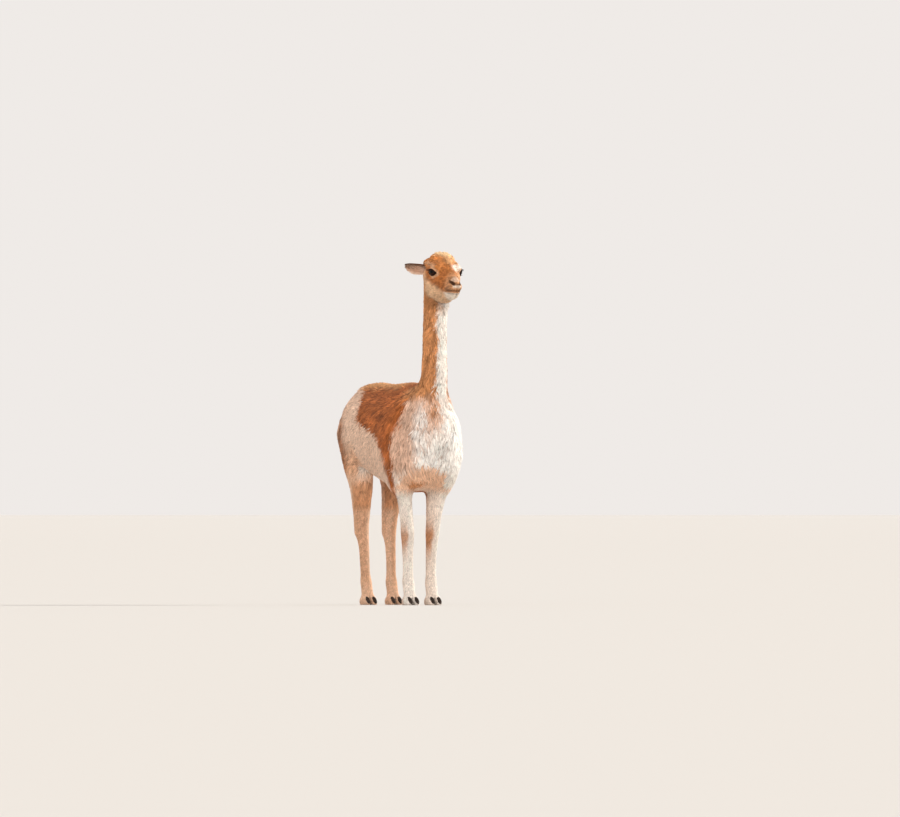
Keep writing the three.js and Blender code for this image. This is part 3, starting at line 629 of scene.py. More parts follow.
def atlas(corners):
    """Places in the atlas for triangles' corners, an array of count x 3 x 3."""
    region = np.argmin(forms(corners.mean(axis=1)), axis=0)
    found = np.zeros(corners.shape[:2] + (2,))
    for i, name in enumerate(REGIONS):
        here = region == i
        turn, share = (part.reshape(-1, 3) for part in unrolled(name, corners[here].reshape(-1, 3)))
        turn = turn - np.round(turn - turn[:, :1])
        turn = turn - np.round(turn.mean(axis=1, keepdims=True))
        found[here] = on_unwrap(name, np.clip(turn, -0.55, 0.55), share)
    return found


# Coat colours, as sRGB
COLOURS = {
    # the shoulder colour is darker than the breast partly as painted shade
    "haunch": (236, 202, 178), "shoulder": (222, 184, 160), "breast": (250, 243, 236),
    "saddle": (180, 104, 56), "dark_saddle": (150, 80, 38), "edge": (190, 122, 74), "neck": (204, 141, 93),
    # the arch colour is painted shade under the chest between the forelegs
    "throat": (250, 240, 230), "arch_shade": (240, 194, 162), "leg": (246, 230, 216), "leg_tan": (200, 134, 86),
    "hind_low": (232, 188, 154), "tail": (206, 148, 104), "forehead": (206, 132, 74),
    "cheek": (194, 120, 66), "jaw": (248, 208, 168), "muzzle": (206, 150, 108), "dark": (46, 20, 8),
    # the patch colour is partly painted sunlight on the face
    # the tuft colour is partly painted backlight on the crown
    "chin": (248, 230, 212), "patch": (250, 234, 220), "tuft": (238, 200, 152), "grizzle": (178, 136, 112),
    # the rim colour is painted light: a golden rim of backlight along the top of the back
    "warm": (236, 178, 136), "rim": (236, 178, 122), "dark_edge": (160, 98, 58), "skin": (40, 20, 12),
    "ring": (222, 176, 138), "ear": (104, 60, 32), "ear_back": (186, 126, 84),
    "ear_inner": (196, 150, 124), "ear_hair": (226, 198, 176), "nail": (44, 34, 28), "iris": (44, 20, 10),
    "pupil": (5, 4, 4), "lash": (30, 15, 8),
}


def linear(name):
    c = np.array(COLOURS[name]) / 255
    return np.where(c > 0.04045, ((c + 0.055) / 1.055) ** 2.4, c / 12.92)


# The saddle's edges: height, and the place along the body there
SADDLE_FRONT = np.array([
    (380, -205), (400, -212), (444, -246), (504, -262), (560, -272), (616, -281), (660, -284), (690, -295),
    (728, -288), (754, -284), (776, -294), (806, -310), (840, -320),
])
SADDLE_REAR = np.array([
    (380, -176), (448, -206), (485, -218), (534, -226), (578, -212), (616, -174), (646, -110), (668, -20),
    (690, 55), (735, 88), (784, 130), (821, 200),
])
# The arch between the forelegs, painted pinkish as the shade under the chest: x and height of its upper edge
ARCH = np.array([(-128, 420), (-106, 494), (-47, 524), (0, 518), (50, 494), (85, 440)])


def trunk_marks(p, wander):
    x, y, z = p.T
    thigh = hump(y + wander + 0.15 * (z - 650), 262, 44) * band(z, 440, 520, 660, 790)
    fleck = smooth(noise(p * (1, 1, 0.5), 9, 7), 0.25, 0.7) * smooth(-y, 150, 260)
    return [
        # the coat's own cream shoulders and white bib, with painted shade darkening the shoulders and painted
        # light carrying the breast's white further back on the left
        ("shoulder", fall(y, -260, -120)),
        ("breast", smooth(-y + 0.6 * x + wander, 280, 345) * band(z, 420, 470, 700, 790)),
        ("grizzle", 0.5 * fleck * smooth(z, 500, 560) * fall(x, 10, 90)),
        ("warm", 0.8 * smooth(y, 60, 160) * fall(z + wander, 500, 640)),
        ("edge", 0.5 * smooth(y + wander, 130, 300) * smooth(z, 740, 812)),
        ("dark_edge", 0.85 * thigh * smooth(np.abs(x), 60, 90)),
        ("throat", 0.8 * band(y, 84, 110, 150, 176) * hump(z, 500, 22) * (np.abs(x) > 60)),
    ]


def saddle_marks(p, wander):
    x, y, z = p.T
    front = np.interp(z, *SADDLE_FRONT.T) + 34 * smooth(x, 0, 60) * fall(z, 780, 810)
    rear = np.interp(z, *SADDLE_REAR.T)
    inside = np.minimum(y - front, (rear - y) * 0.75) + wander * smooth(z, 400, 560)
    saddle = smooth(inside, -12, 10) * smooth(z, 386, 412)
    stroke = smooth(noise(p * (1, 0.45, 1.3), 12, 3), -0.2, 0.6)
    return [
        ("saddle", saddle),
        ("dark_saddle", (0.55 + 0.25 * fall(z, 600, 740)) * saddle * stroke),
        # painted backlight: a pale golden rim along the top of the back
        ("rim", 0.7 * smooth(z, 800, 822) * smooth(y, -220, -120) * fall(np.abs(x), 90, 130)),
    ]


def arch_marks(p, wander):
    x, y, z = p.T
    edge = np.interp(x, *ARCH.T) + wander * 0.4
    # painted shade under the chest, between the forelegs
    arch_shade = smooth(edge - z, -6, 10) * smooth(-y, 205, 240) * smooth(z, 404, 446)
    spots = fall(np.abs(x + 58) + wander, 16, 36) * fall(z, 450, 474)
    return [("arch_shade", arch_shade), ("leg_tan", 0.9 * arch_shade * spots)]


def neck_marks(p, wander):
    x, y, z = p.T
    turn = np.degrees(np.arctan2(x - 3, -(y + 350)))
    tan = smooth(z + wander, 712, 772) * smooth(z, 752, 802) * fall(y, -262, -205)
    fringe = smooth(np.minimum(turn + 52, -turn) + wander, -14, 8) * smooth(z, 560, 660)
    fringe = fringe * (1 - 0.85 * fall(z + wander * 1.6, 620, 720)) * smooth(-y, 340, 384)
    mottle = 0.55 + 0.45 * smooth(noise(p * (1, 1, 0.6), 13, 9), -0.5, 0.4)
    return [
        ("neck", tan), ("neck", 0.9 * (1 - tan) * fringe * mottle),
        # white throat stripe: the coat's own white, carried further round the neck's sunlit left side as
        # painted light
        ("throat", band(turn + wander * 0.5, -16, -4, 46, 74) * smooth(z, 640, 800)),
    ]


def leg_marks(p, wander):
    x, y, z = p.T
    low = fall(z, 430, 520)
    fore, hind = low * (y < 0), low * (y >= 0)
    front, back, _, middle = np.where(y < 0, between(FORELEG, z).T[:4], between(HINDLEG, z).T[:4])
    before = (front + back) / 2 - y
    inner = smooth(middle - np.abs(x) + wander * 0.4, -4, 12)
    shaded = smooth(np.sign(x) * middle - x + wander * 0.4, 2, 14)
    ahead = smooth(before + wander * 0.4, -14, 10)
    knee = hump(z, 248, 58)
    return [
        ("leg", np.maximum(fore, 0.55 * hind)),
        # tan knee patch on each foreleg's right-hand side: partly the coat's tan, partly painted shade on the
        # side away from the light
        ("leg_tan", 0.9 * fore * shaded * np.clip(0.06 + knee, 0, 1)),
        ("leg_tan", 0.3 * fore * (1 - ahead)),
        # whiter front of the right foreleg and left side of the left foreleg: partly the legs' own white,
        # partly painted light
        ("throat", 0.7 * fore * ahead * (x < 0) * (1 - 0.8 * knee * shaded)),
        ("throat", 0.7 * fore * (x > 0) * smooth(x - middle, 2, 12)),
        ("hind_low", 0.75 * hind),
        ("leg_tan", 0.7 * hind * ahead * band(z, 340, 380, 450, 480)),
        ("leg_tan", 0.35 * hind * band(z, 20, 120, 330, 420) * (1 - inner)),
        ("dark_edge", 0.8 * hind * fall(before + wander * 0.2, -46, -30) * smooth(z, 330, 400)),
    ]


def head_marks(p, wander):
    f, s, u = to_head(p).T
    own = half_head(p)
    wide, over = own[:, 1], over_mouth(own)
    on = smooth(f + 0.6 * u, -124, -84) * (p[:, 2] > 1080) * (1 - fall(u, -108, -94) * fall(f, -34, -20))
    patch = smooth(s + wander * 0.4, -6, 16) * band(f, 4, 26, 44, 66)
    left_cheek = smooth(s + wander * 0.4, 10, 28) * smooth(f, 10, 40) * band(u, -56, -40, 6, 24)
    layers = [
        ("forehead", 1),
        ("cheek", fall(u + wander, 0, 26) * fall(f, 48, 84)),
        ("jaw", 0.85 * fall(u + 0.25 * f + wander * 0.5, -66, -30)),
        ("jaw", 0.7 * smooth(-f - 0.3 * u, 58, 84) * fall(u, -6, 14)),
        # pale patch on the face's left side: partly pale hair, partly painted sunlight
        ("patch", 0.92 * patch * smooth(u, 4, 16) * fall(u + wander * 0.3, 27, 40)),
        ("ring", 0.7 * smooth(wide, 34, 44) * band(u, 14, 20, 26, 34) * fall(f, -4, 16)),
        # golden crown and quiff: partly the hair's own gold, partly painted backlight
        ("tuft", 0.45 * smooth(u, 32, 42) * smooth(s, -24, 4) * smooth(f, -60, -20)),
        ("tuft", 0.9 * smooth(u, 44, 56) * fall(f, -34, -8) * fall(np.abs(s - 6), 22, 36)),
        ("dark", 0.25 * hump(u + 0.25 * f, -46, 9) * band(f, -10, 20, 60, 80)),
        ("muzzle", 0.9 * smooth(f + wander * 0.5, 52, 84) * smooth(u, -66, -56)),
        ("jaw", 0.5 * left_cheek),
        # painted highlight along the top of the nose, in the chin's pale colour
        ("chin", 0.42 * smooth(f, 86, 98) * smooth(u, -19, -13)),
        ("chin", smooth(f, 44, 70) * fall(over, -9, -4)),
        # painted highlight on the upper lip below the nostrils
        ("chin", 0.9 * smooth(f, 98, 108) * hump(u, -34, 5) * fall(wide, 12, 20)),
        ("dark", 0.6 * smooth(f, 62, 82) * hump(over, 2.5, 5.5)),
        # painted shadow under the lower lip
        ("dark", 0.5 * smooth(f, 74, 88) * hump(over, -10, 3)),
        ("dark", 0.7 * fade(own, LIP_CLEFT, 7)),
        # the nostrils' dark skin, with painted shade in them and round them
        ("dark", 0.95 * smooth(fade(own, NOSTRIL, 14.5), 0.3, 0.75)),
    ]
    return [(name, on * amount) for name, amount in layers]


def eye_marks(p):
    """A pale ring round each eye, dark lids, and a dark streak on from the rear corner."""
    layers = []
    for side in (1, -1):
        middle, axes = eye_frame(side)
        ahead, up, out = ((p - middle) @ axes.T).T
        gape = lid_gape(p, side)[0]
        near = (p[:, 2] > 1150) * smooth(out, -28, -18)
        along = np.clip(ahead, -43, -10)
        streak = np.hypot(ahead - along, (up - 1) * (1 - (along + 10) / 42))
        layers += [
            ("ring", 0.75 * near * fall(-gape, 10, 17)), ("skin", near * fall(-gape, 2.4, 4.6)),
            ("skin", 0.97 * near * fall(streak, 6.5, 10)),
        ]
    return layers


def marks(p):
    """The coat's colour by place."""
    y, z = p[:, 1], p[:, 2]
    wander = noise(p, 34, 1) * 12 + noise(p, 11, 2) * 6
    layers = []
    for work in (trunk_marks, leg_marks, saddle_marks, arch_marks, neck_marks):
        layers += work(p, wander)
    layers += [("tail", 0.8 * smooth(y, 372, 386) * (z > 470))] + head_marks(p, wander) + eye_marks(p)
    colour = layered(linear("haunch"), layers)
    on_neck, on_head = smooth(z, 800, 860), smooth(z, 1110, 1150)
    trunk_grain = strokes(p, (0, 0.8, -0.6), 8, 6) * (1 - 0.65 * fall(z, 400, 540))
    grain = mixed(trunk_grain, 0.85 * strokes(p, (0, 0.3, -1), 5.5, 8), on_neck)
    grain = mixed(grain, 0.65 * strokes(p, HEAD_AXES[0] + 0.5 * HEAD_AXES[2], 4, 10), on_head)
    tan = smooth(1 - colour[:, 2] / colour[:, 0], 0.45, 0.8)
    shade = 1 + 0.05 * noise(p, 60, 5) + (0.14 + 0.56 * tan) * grain
    return np.minimum(colour * np.maximum(shade, 0.35)[:, None], 0.94)


def to_row(points):
    return (points + SHIFT) / 1000


def make_piece(name, points, tris, tint, places, material, nodes, normals=None):
    """A mesh piece in the row frame; tint has a colour a point, places a u and v a corner."""
    mesh = bpy.data.meshes.new(name)
    mesh.vertices.add(len(points))
    mesh.vertices.foreach_set("co", to_row(points).astype(np.float32).ravel())
    mesh.loops.add(tris.size)
    mesh.loops.foreach_set("vertex_index", tris.astype(np.int32).ravel())
    mesh.polygons.add(len(tris))
    mesh.polygons.foreach_set("loop_start", np.arange(0, tris.size, 3, dtype=np.int32))
    mesh.polygons.foreach_set("use_smooth", np.ones(len(tris), bool))
    mesh.update(calc_edges=True)
    colours = mesh.color_attributes.new("tint", "FLOAT_COLOR", "POINT")
    shades = np.concatenate([tint, np.ones((len(tint), 1))], axis=1)
    colours.data.foreach_set("color", shades.astype(np.float32).ravel())
    layer = mesh.uv_layers.new(name="OFBake")
    layer.data.foreach_set("uv", places.astype(np.float32).ravel())
    if normals is not None:
        mesh.normals_split_custom_set_from_vertices(normals.astype(np.float32))
    mesh.materials.append(material)
    piece = added(name, mesh)
    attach(piece, "root")
    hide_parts(*nodes)


# Finishes: roughness, share colour varies by, mottling's scale, relief's strength and depth, sheen, gloss
FINISHES = {
    "coat": (0.9, 0.1, 130, 0.25, 0.0012, 0.04, 0),
    "skin": (0.8, 0.12, 160, 0.35, 0.0012, 0.03, 0),
    "eye": (0.06, 0.15, 300, 0.02, 0.0002, 0, 0),
    "nail": (0.5, 0.25, 120, 0.3, 0.0008, 0, 0.15),
    "lash": (0.5, 0.2, 400, 0.1, 0.0004, 0, 0),
}


def new_material(name):
    material = bpy.data.materials.new(name)
    material.use_nodes = True
    return material, material.node_tree.nodes["Principled BSDF"]


def set_inputs(node, **values):
    for name, value in values.items():
        node.inputs[name.replace("_", " ")].default_value = value
    return node


def shader_node(material, kind, **values):
    return set_inputs(material.node_tree.nodes.new("ShaderNode" + kind), **values)


def wire(material, *links):
    for source, output, target, entry in links:
        material.node_tree.links.new(source.outputs[output], target.inputs[entry])


def make_material(name, roughness, varies, scale, bump, deep, sheen, gloss):
    """A finish over the tint attribute: mottling, uneven roughness and a fine relief."""
    material, shader = new_material(name)
    place = shader_node(material, "TexCoord")
    tint = shader_node(material, "Attribute")
    tint.attribute_name = "tint"
    mottle = shader_node(material, "TexNoise", Scale=scale, Detail=4)
    span = shader_node(material, "MapRange", To_Min=1 - varies, To_Max=1 + varies)
    times = shader_node(material, "VectorMath")
    times.operation = "SCALE"
    rough = shader_node(material, "MapRange", To_Min=roughness * 0.9, To_Max=min(roughness * 1.1, 1))
    grain = shader_node(material, "TexNoise", Scale=scale * 6, Detail=3)
    relief = shader_node(material, "Bump", Strength=bump, Distance=deep)
    wire(
        material,
        (place, "Object", mottle, "Vector"), (place, "Object", grain, "Vector"),
        (mottle, "Fac", span, "Value"), (mottle, "Fac", rough, "Value"), (tint, "Color", times, 0),
        (span, "Result", times, "Scale"), (times, "Vector", shader, "Base Color"),
        (rough, "Result", shader, "Roughness"), (grain, "Fac", relief, "Height"),
        (relief, "Normal", shader, "Normal"),
    )
    set_inputs(
        shader, Sheen_Weight=sheen, Sheen_Roughness=0.6, Coat_Weight=gloss, Coat_Roughness=0.03,
        Specular_IOR_Level=0.12 if roughness < 0.4 else 0.08,
    )
    return material


def outward(points, tris):
    """Triangles turned so that their closed shape has a volume above zero."""
    a, b, c = (points[tris[:, k]] for k in range(3))
    return tris if (np.cross(a, b) * c).sum() > 0 else tris[:, ::-1]


def lofted(rings, start, end):
    """A closed form through rings of points, with a point at each end."""
    count, spokes = rings.shape[:2]
    points = np.concatenate([rings.reshape(-1, 3), [start, end]])
    i, j = (part.ravel() for part in np.meshgrid(np.arange(count - 1), np.arange(spokes), indexing="ij"))
    a, b = i * spokes + j, i * spokes + (j + 1) % spokes
    j = np.arange(spokes)
    after, last, pole = (j + 1) % spokes, (count - 1) * spokes, np.full(spokes, count * spokes)
    walls = [(a, b, b + spokes), (a, b + spokes, a + spokes)]
    faces = walls + [(after, j, pole), (last + j, last + after, pole + 1)]
    return points, outward(points, np.concatenate([np.stack(face, axis=1) for face in faces]))


def joined(shapes):
    """Several shapes of points, triangles and colours as one."""
    points, tris, tints = zip(*shapes)
    starts = np.cumsum([0] + [len(p) for p in points[:-1]])
    tris = [own + start for own, start in zip(tris, starts)]
    tints = [np.broadcast_to(tint, p.shape) for tint, p in zip(tints, points)]
    return np.concatenate(points), np.concatenate(tris), np.concatenate(tints)


def spread(points, tris):
    """Places in the atlas's last chart by a small piece's own length and height."""
    low, high = points.min(axis=0), points.max(axis=0)
    _, along, up = ((points - low) / np.maximum(high - low, 1e-6)).T
    return in_chart("rest", along, up)[tris]


# Tufts: length, width, spacing and where they show follow the coat's depth
TUFT = {
    "length": 3.05, "wide": 0.95, "widens": 0.33, "apart": 1.72, "parts": 0.185, "sink": 1.6, "turns": 0.2,
    "pull": 0.18, "shows": 1.4,
}
TUFT_TRIS = np.array([
    (0, 1, 2), (0, 3, 4), (0, 4, 1), (1, 4, 5), (1, 5, 2),
    (2, 5, 3), (2, 3, 0), (3, 6, 4), (4, 6, 5), (5, 6, 3),
])
TUFT_PATCH = 0.0015 * np.array([(-1, -1), (0, -1), (1, -1), (-1, 0), (0, 0), (1, 0), (0, 1)])
# Painted shade along each tuft, by corner from root to tip: darker at the sunk root and the middle's sides,
# lighter at the tip
TUFT_PAINTED_SHADE = np.array([0.58, 0.62, 0.58, 0.82, 1.04, 0.82, 1.14])
PIECE_TUFTS = 19000


def along_skin(way, normals):
    return way - (way * normals).sum(axis=1, keepdims=True) * normals


def coat_lie(p, normals):
    """Which way the coat lies, along the skin."""
    _, y, z = p.T
    f, _, u = to_head(p).T
    side = fall(normals[:, 2], 0.35, 0.95)
    on_head = smooth(f + 0.6 * u, -118, -76) * (z > 1080)
    way = np.stack([0 * side, 1 + 0 * side, -0.75 * side], axis=1)
    way = layered(way, [
        ((0, 0.12, -1), smooth(-y, 180, 300) * side),
        ((0, -0.08, -1), smooth(-y, 320, 372)),
        ((0, 0.15, -1), fall(z, 440, 560)),
        ((0, 0.6, -1), smooth(y, 300, 390) * side),
        ((0, 0.28, -1), smooth(z, 800, 900)),
        (-HEAD_AXES[0] - 0.35 * HEAD_AXES[2], on_head),
    ])
    sway = np.stack([noise(p, 48, seed) for seed in (11, 12, 13)], axis=1)
    return unit(along_skin(unit(way) + 0.3 * sway * (1 - 0.7 * on_head)[:, None], normals))


def clumping(p, depth, normals):
    """A pull along the skin towards the nearest clump."""
    size = (20 + 12 * smooth(depth, 13, 18))[:, None]
    return along_skin(slope(lambda q: noise(q, size, 21), p, 2.0) * size * TUFT["pull"], normals)


def scatter(points, tris, rng):
    """Roots over the skin, the closer together the thinner the coat."""
    corners = points[tris]
    sides = corners[:, 1:] - corners[:, :1]
    area = np.linalg.norm(np.cross(sides[:, 0], sides[:, 1]), axis=1) / 2
    middle = corners.mean(axis=1)
    apart = TUFT["apart"] + TUFT["parts"] * coat_depth(middle)
    wanted = area / apart ** 2 * grows(middle)
    face = np.repeat(np.arange(len(tris)), np.floor(wanted + rng.random(len(tris))).astype(int))
    a, b = rng.random((2, len(face)))
    fold = a + b > 1
    a[fold], b[fold] = 1 - a[fold], 1 - b[fold]
    return corners[face, 0] + a[:, None] * sides[face, 0] + b[:, None] * sides[face, 1]


def grows(p):
    """1 where tufts grow, 0 on the lids, nostrils, lips' line and soles."""
    own = half_head(p)
    no_coat = (own[:, 0] > 54) & (np.abs(over_mouth(own)) < 1.6)
    no_coat |= (fade(own, NOSTRIL, 10) > 0.35) | (fade(own, LIP_CLEFT, 8) > 0.2)
    for side in (1, -1):
        gape, out, _ = lid_gape(p, side)
        no_coat |= (out > 0) & (gape > -4.2)
    return np.where(no_coat & (own[:, 0] > -60), 0, smooth(p[:, 2], 2, 9))


def held_to(field, points, depth):
    """Points moved onto the skin under the coat, and the way out from it there."""
    for _ in range(2):
        way = unit(slope(field, points))
        points = points - way * np.clip(field(points) + depth, -25, 25)[:, None]
    return points, way


def make_tufts(roots, normals, lies, depth, colours, rng, field=None):
    """Locks over a surface: a sunk root, a ridged middle and a point. Gives points, normals and colours."""
    count = len(roots)
    length = (TUFT["length"] * depth * (0.75 + 0.5 * rng.random(count)))[:, None]
    width = ((TUFT["wide"] + TUFT["widens"] * depth) * (0.8 + 0.4 * rng.random(count)))[:, None]
    turn = rng.normal(0, TUFT["turns"], count)[:, None]
    lies = unit(lies * np.cos(turn) + np.cross(normals, lies) * np.sin(turn))
    pull = clumping(roots, depth, normals)
    tall = 0.8 + 0.14 * noise(roots, 22, 22) + 0.12 * noise(roots, 11, 23) + 0.16 * (rng.random(count) - 0.5)
    middle = roots + lies * length * 0.45 + pull * length * 0.3
    tip = roots + lies * length + pull * length
    far, over_middle, over_tip = np.zeros(count), normals, normals
    if field is not None:
        middle, over_middle = held_to(field, middle, depth)
        tip, over_tip = held_to(field, tip, depth)
        far = fluff(roots)
    middle = middle + over_middle * (depth * 0.68 * tall + 0.55 * far)[:, None]
    tip = tip + over_tip * (depth * 0.95 * tall + far * (0.7 + 0.5 * rng.random(count)))[:, None]
    across = np.cross(normals, lies)
    root = roots - normals * TUFT["sink"]
    up, aside = normals * width * 0.28, across * width * 0.5
    points = np.stack([
        root - aside * 0.8, root + up, root + aside * 0.8,
        middle - aside - up, middle + up, middle + aside - up, tip,
    ], axis=1)
    points[..., 2] = np.maximum(points[..., 2], 0.4)
    faces = unit(normals + 0.22 * lies)
    leans = [(-0.5, 0), (0, 0), (0.5, 0), (-0.8, 0), (0, 0), (0.8, 0), (0, 0.3)]
    soft = np.stack([unit(faces + a * across + b * lies) for a, b in leans], axis=1)
    return points, soft, tuft_tints(colours, rng)


def tuft_tints(colours, rng):
    """Each tuft's colours from root to tip, with painted shade darkening the root and sides, of which some
    tufts are darker and the pale ones get less of the painted shade.
    """
    count = len(colours)
    dark = np.where(rng.random(count) < 0.13, 0.58 + 0.26 * colours[:, 0], 1.0)
    own = colours * (dark * (1 + np.clip(rng.normal(0, 0.16, count), -0.4, 0.4)))[:, None]
    # painted shade from root to tip, weaker on pale tufts
    shades = 1 - (1 - TUFT_PAINTED_SHADE) * (1 - 0.5 * smooth(colours[:, 2:], 0.4, 0.75))
    return own[:, None, :] * shades[:, :, None]


def add_tufts(name, made, places, material, node):
    """One coat piece from tufts, each a patch at its root's place in the atlas."""
    points, soft, tints = (part.reshape(-1, 3) for part in made)
    each = TUFT_TRIS.max() + 1
    tris = outward(points, (TUFT_TRIS + each * np.arange(len(places))[:, None, None]).reshape(-1, 3))
    patch = places[tris // each] + TUFT_PATCH[tris % each]
    make_piece(name, points, tris, tints, patch, material, [node], soft)


def make_coat(points, tris, material):
    rng = np.random.default_rng(7)
    roots = scatter(points, tris, rng)
    normals = unit(slope(body, roots))
    depth = coat_depth(roots)
    lies = coat_lie(roots, normals)
    shows = roots + (normals + TUFT["shows"] * lies) * depth[:, None]
    made = make_tufts(roots, normals, lies, depth, marks(shows), rng, body)
    region = np.argmin(forms(roots), axis=0)
    for i, name in enumerate(REGIONS):
        here = np.flatnonzero(region == i)
        here = here[np.argsort(roots[here, 0 if name == "head" else 1], kind="stable")]
        for k, part in enumerate(np.array_split(here, math.ceil(len(here) / PIECE_TUFTS))):
            places = on_unwrap(name, *unrolled(name, roots[part]))
            add_tufts(f"coat_{name}_{k + 1}", [own[part] for own in made], places, material, NODES[name])


# Ears: share of the length, half width, depth of the back and of the cup
EAR = [
    (0, 13, 15, 1), (0.14, 18, 17, 5), (0.32, 23.5, 18, 12), (0.52, 25.5, 16, 12), (0.72, 22, 13, 9),
    (0.88, 15.5, 9, 5), (0.96, 11, 5, 2), (1, 7, 3.5, 1),
]
EAR_LENGTH = 87
EAR_LIFT = 12.5
EAR_BOW = 6
EAR_EDGE = 1.2
EAR_ROOT = (-74, 37, 3)
# How far each ear is turned back, down and round its length, in degrees
EAR_HELD = {1: (62, 4, 10), -1: (33, 4, 32)}
EAR_GRID = (44, 26)
# Tufts behind an ear and inside it: how many, and the coat's depth there
EAR_FUR = {False: (3600, 2.6), True: (1500, 3.4)}
SIDES = {1: "left", -1: "right"}


def ear_axes(side):
    """An ear's root and its axes: along it, out of its cup and across it."""
    back, down, turn = np.radians(EAR_HELD[side])
    level = math.cos(down)
    way = Vector((-math.sin(back) * level, side * math.cos(back) * level, -math.sin(down)))
    out = Vector((math.cos(back), side * math.sin(back), 0))
    out.rotate(Matrix.Rotation(side * turn, 3, way))
    axes = np.array([way, out, way.cross(out)]) @ HEAD_AXES
    return from_head(EAR_ROOT * np.array([1, side, 1])), axes


def ear_sheet(side, inner):
    """A grid of points over an ear's inner or outer face."""
    steps, folds = EAR_GRID
    at = np.linspace(0, 1, steps)[:, None]
    half, back, cup = between(EAR, at[:, 0]).T[..., None]
    v = np.linspace(-1, 1, folds)[None, :]
    deep, edge = (cup, EAR_EDGE / 2) if inner else (back, -EAR_EDGE / 2)
    local = np.stack([
        np.broadcast_to(at * EAR_LENGTH, (steps, folds)),
        edge - deep * (1 - v * v) + EAR_BOW * np.sin(np.pi * at),
        half * v * (1 - 0.12 * v * v) - side * EAR_LIFT * (at ** 2 - 0.35),
    ], axis=-1)
    root, axes = ear_axes(side)
    return local @ axes + root


def make_ear(side, coat, skin_look):
    name = "ear_" + SIDES[side]
    inner, outer = ear_sheet(side, True), ear_sheet(side, False)
    rings = np.concatenate([inner, outer[:, ::-1]], axis=1)
    points, tris = lofted(rings, rings[0].mean(axis=0), rings[-1].mean(axis=0))
    steps, folds = EAR_GRID
    at = np.repeat(np.linspace(0, 1, steps), 2 * folds)
    v = np.tile(np.concatenate([np.linspace(-1, 1, folds), np.linspace(1, -1, folds)]), steps)
    tint = ear_tint(at, v, np.tile(np.repeat([1, 0], folds), steps), side)
    flat = in_chart(name, np.tile(np.linspace(0.02, 0.98, 2 * folds), steps), at)
    tint, flat = (np.concatenate([own, own[:1], own[-1:]]) for own in (tint, flat))
    make_piece(f"skin_{name}", points, tris, tint, flat[tris], skin_look, [name])
    rng = np.random.default_rng(31 + side)
    made, places = zip(*(ear_tufts(name, side, is_inner, rng) for is_inner in EAR_FUR))
    add_tufts(f"coat_{name}", [np.concatenate(own) for own in zip(*made)], np.concatenate(places), coat, name)


def ear_tint(at, v, is_inner, side):
    """The ear's colour: pale inside, tan behind, dark along its upper rim and tip, pale on the lower rim."""
    up = -side * v
    rim = np.maximum(smooth(up, 0.3, 0.6), 0.8 * smooth(at, 0.86, 0.97))
    fold = hump(up - 0.1 - 0.5 * (at - 0.6), 0, 0.07) * smooth(at, 0.3, 0.7)
    return layered(np.where(is_inner[:, None] > 0, linear("ear_inner"), linear("ear_back")), [
        ("ear", 0.75 * smooth(at, 0.5, 0.85) * fall(-up, 0.5, 0.8)),
        ("ear", 0.95 * rim),
        ("ear_hair", 0.8 * smooth(-up, 0.78, 0.95) * (1 - rim)),
        ("ear", 0.6 * fold),
        ("ear", 0.7 * fall(at, 0.06, 0.2) * smooth(up, -0.5, 0.3)),
    ])


def ear_roots(is_inner, wanted, rng):
    """Places of tufts in steps along and across an ear's grid, of which the inner ones keep near the rims."""
    steps, folds = EAR_GRID
    at = rng.random(wanted) ** 0.8 * (steps - 1.001)
    over = rng.random(wanted) * (folds - 1.001)
    if is_inner:
        on_rim = rng.random(wanted) < 0.7
        rim = np.where(rng.random(wanted) < 0.5, 0.05, 0.86) * folds + rng.random(wanted) * 2
        over = np.clip(np.where(on_rim, rim, over), 0, folds - 1.001)
    return at, over


def ear_tufts(name, side, is_inner, rng):
    """Tufts on one face of an ear, and their places in the atlas."""
    sheet, (steps, folds), (wanted, depth) = ear_sheet(side, is_inner), EAR_GRID, EAR_FUR[is_inner]
    at, over = ear_roots(is_inner, wanted, rng)
    i, j = at.astype(int), over.astype(int)
    ahead, aside = sheet[i + 1, j] - sheet[i, j], sheet[i, j + 1] - sheet[i, j]
    roots = sheet[i, j] + ahead * (at - i)[:, None] + aside * (over - j)[:, None]
    along, across = unit(ahead), unit(aside)
    normals = np.cross(along, across)
    out = ear_axes(side)[1][1]
    normals *= np.sign((normals * out).sum(axis=1).mean()) * (1 if is_inner else -1)
    v = 2 * over / (folds - 1) - 1
    lean = 1.6 * smooth(side * v, 0.6, 0.8) - 0.7 if is_inner else 0.25
    lies = unit(along + (lean * np.sign(v))[:, None] * across)
    tint = ear_tint(at / (steps - 1), v, np.full(wanted, is_inner), side)
    share = over / folds * 0.48
    if is_inner:
        tint = mixed(tint, linear("ear_hair"), 0.3)
    else:
        share = 1 - share
    made = make_tufts(roots, normals, lies, np.full(wanted, depth), tint, rng)
    return made, in_chart(name, share, at / steps)


EYE_GRID = (60, 72)
CORNEA = {"rise": 0.7, "spread": 0.55}
PUPIL = (8.5, 4.6)


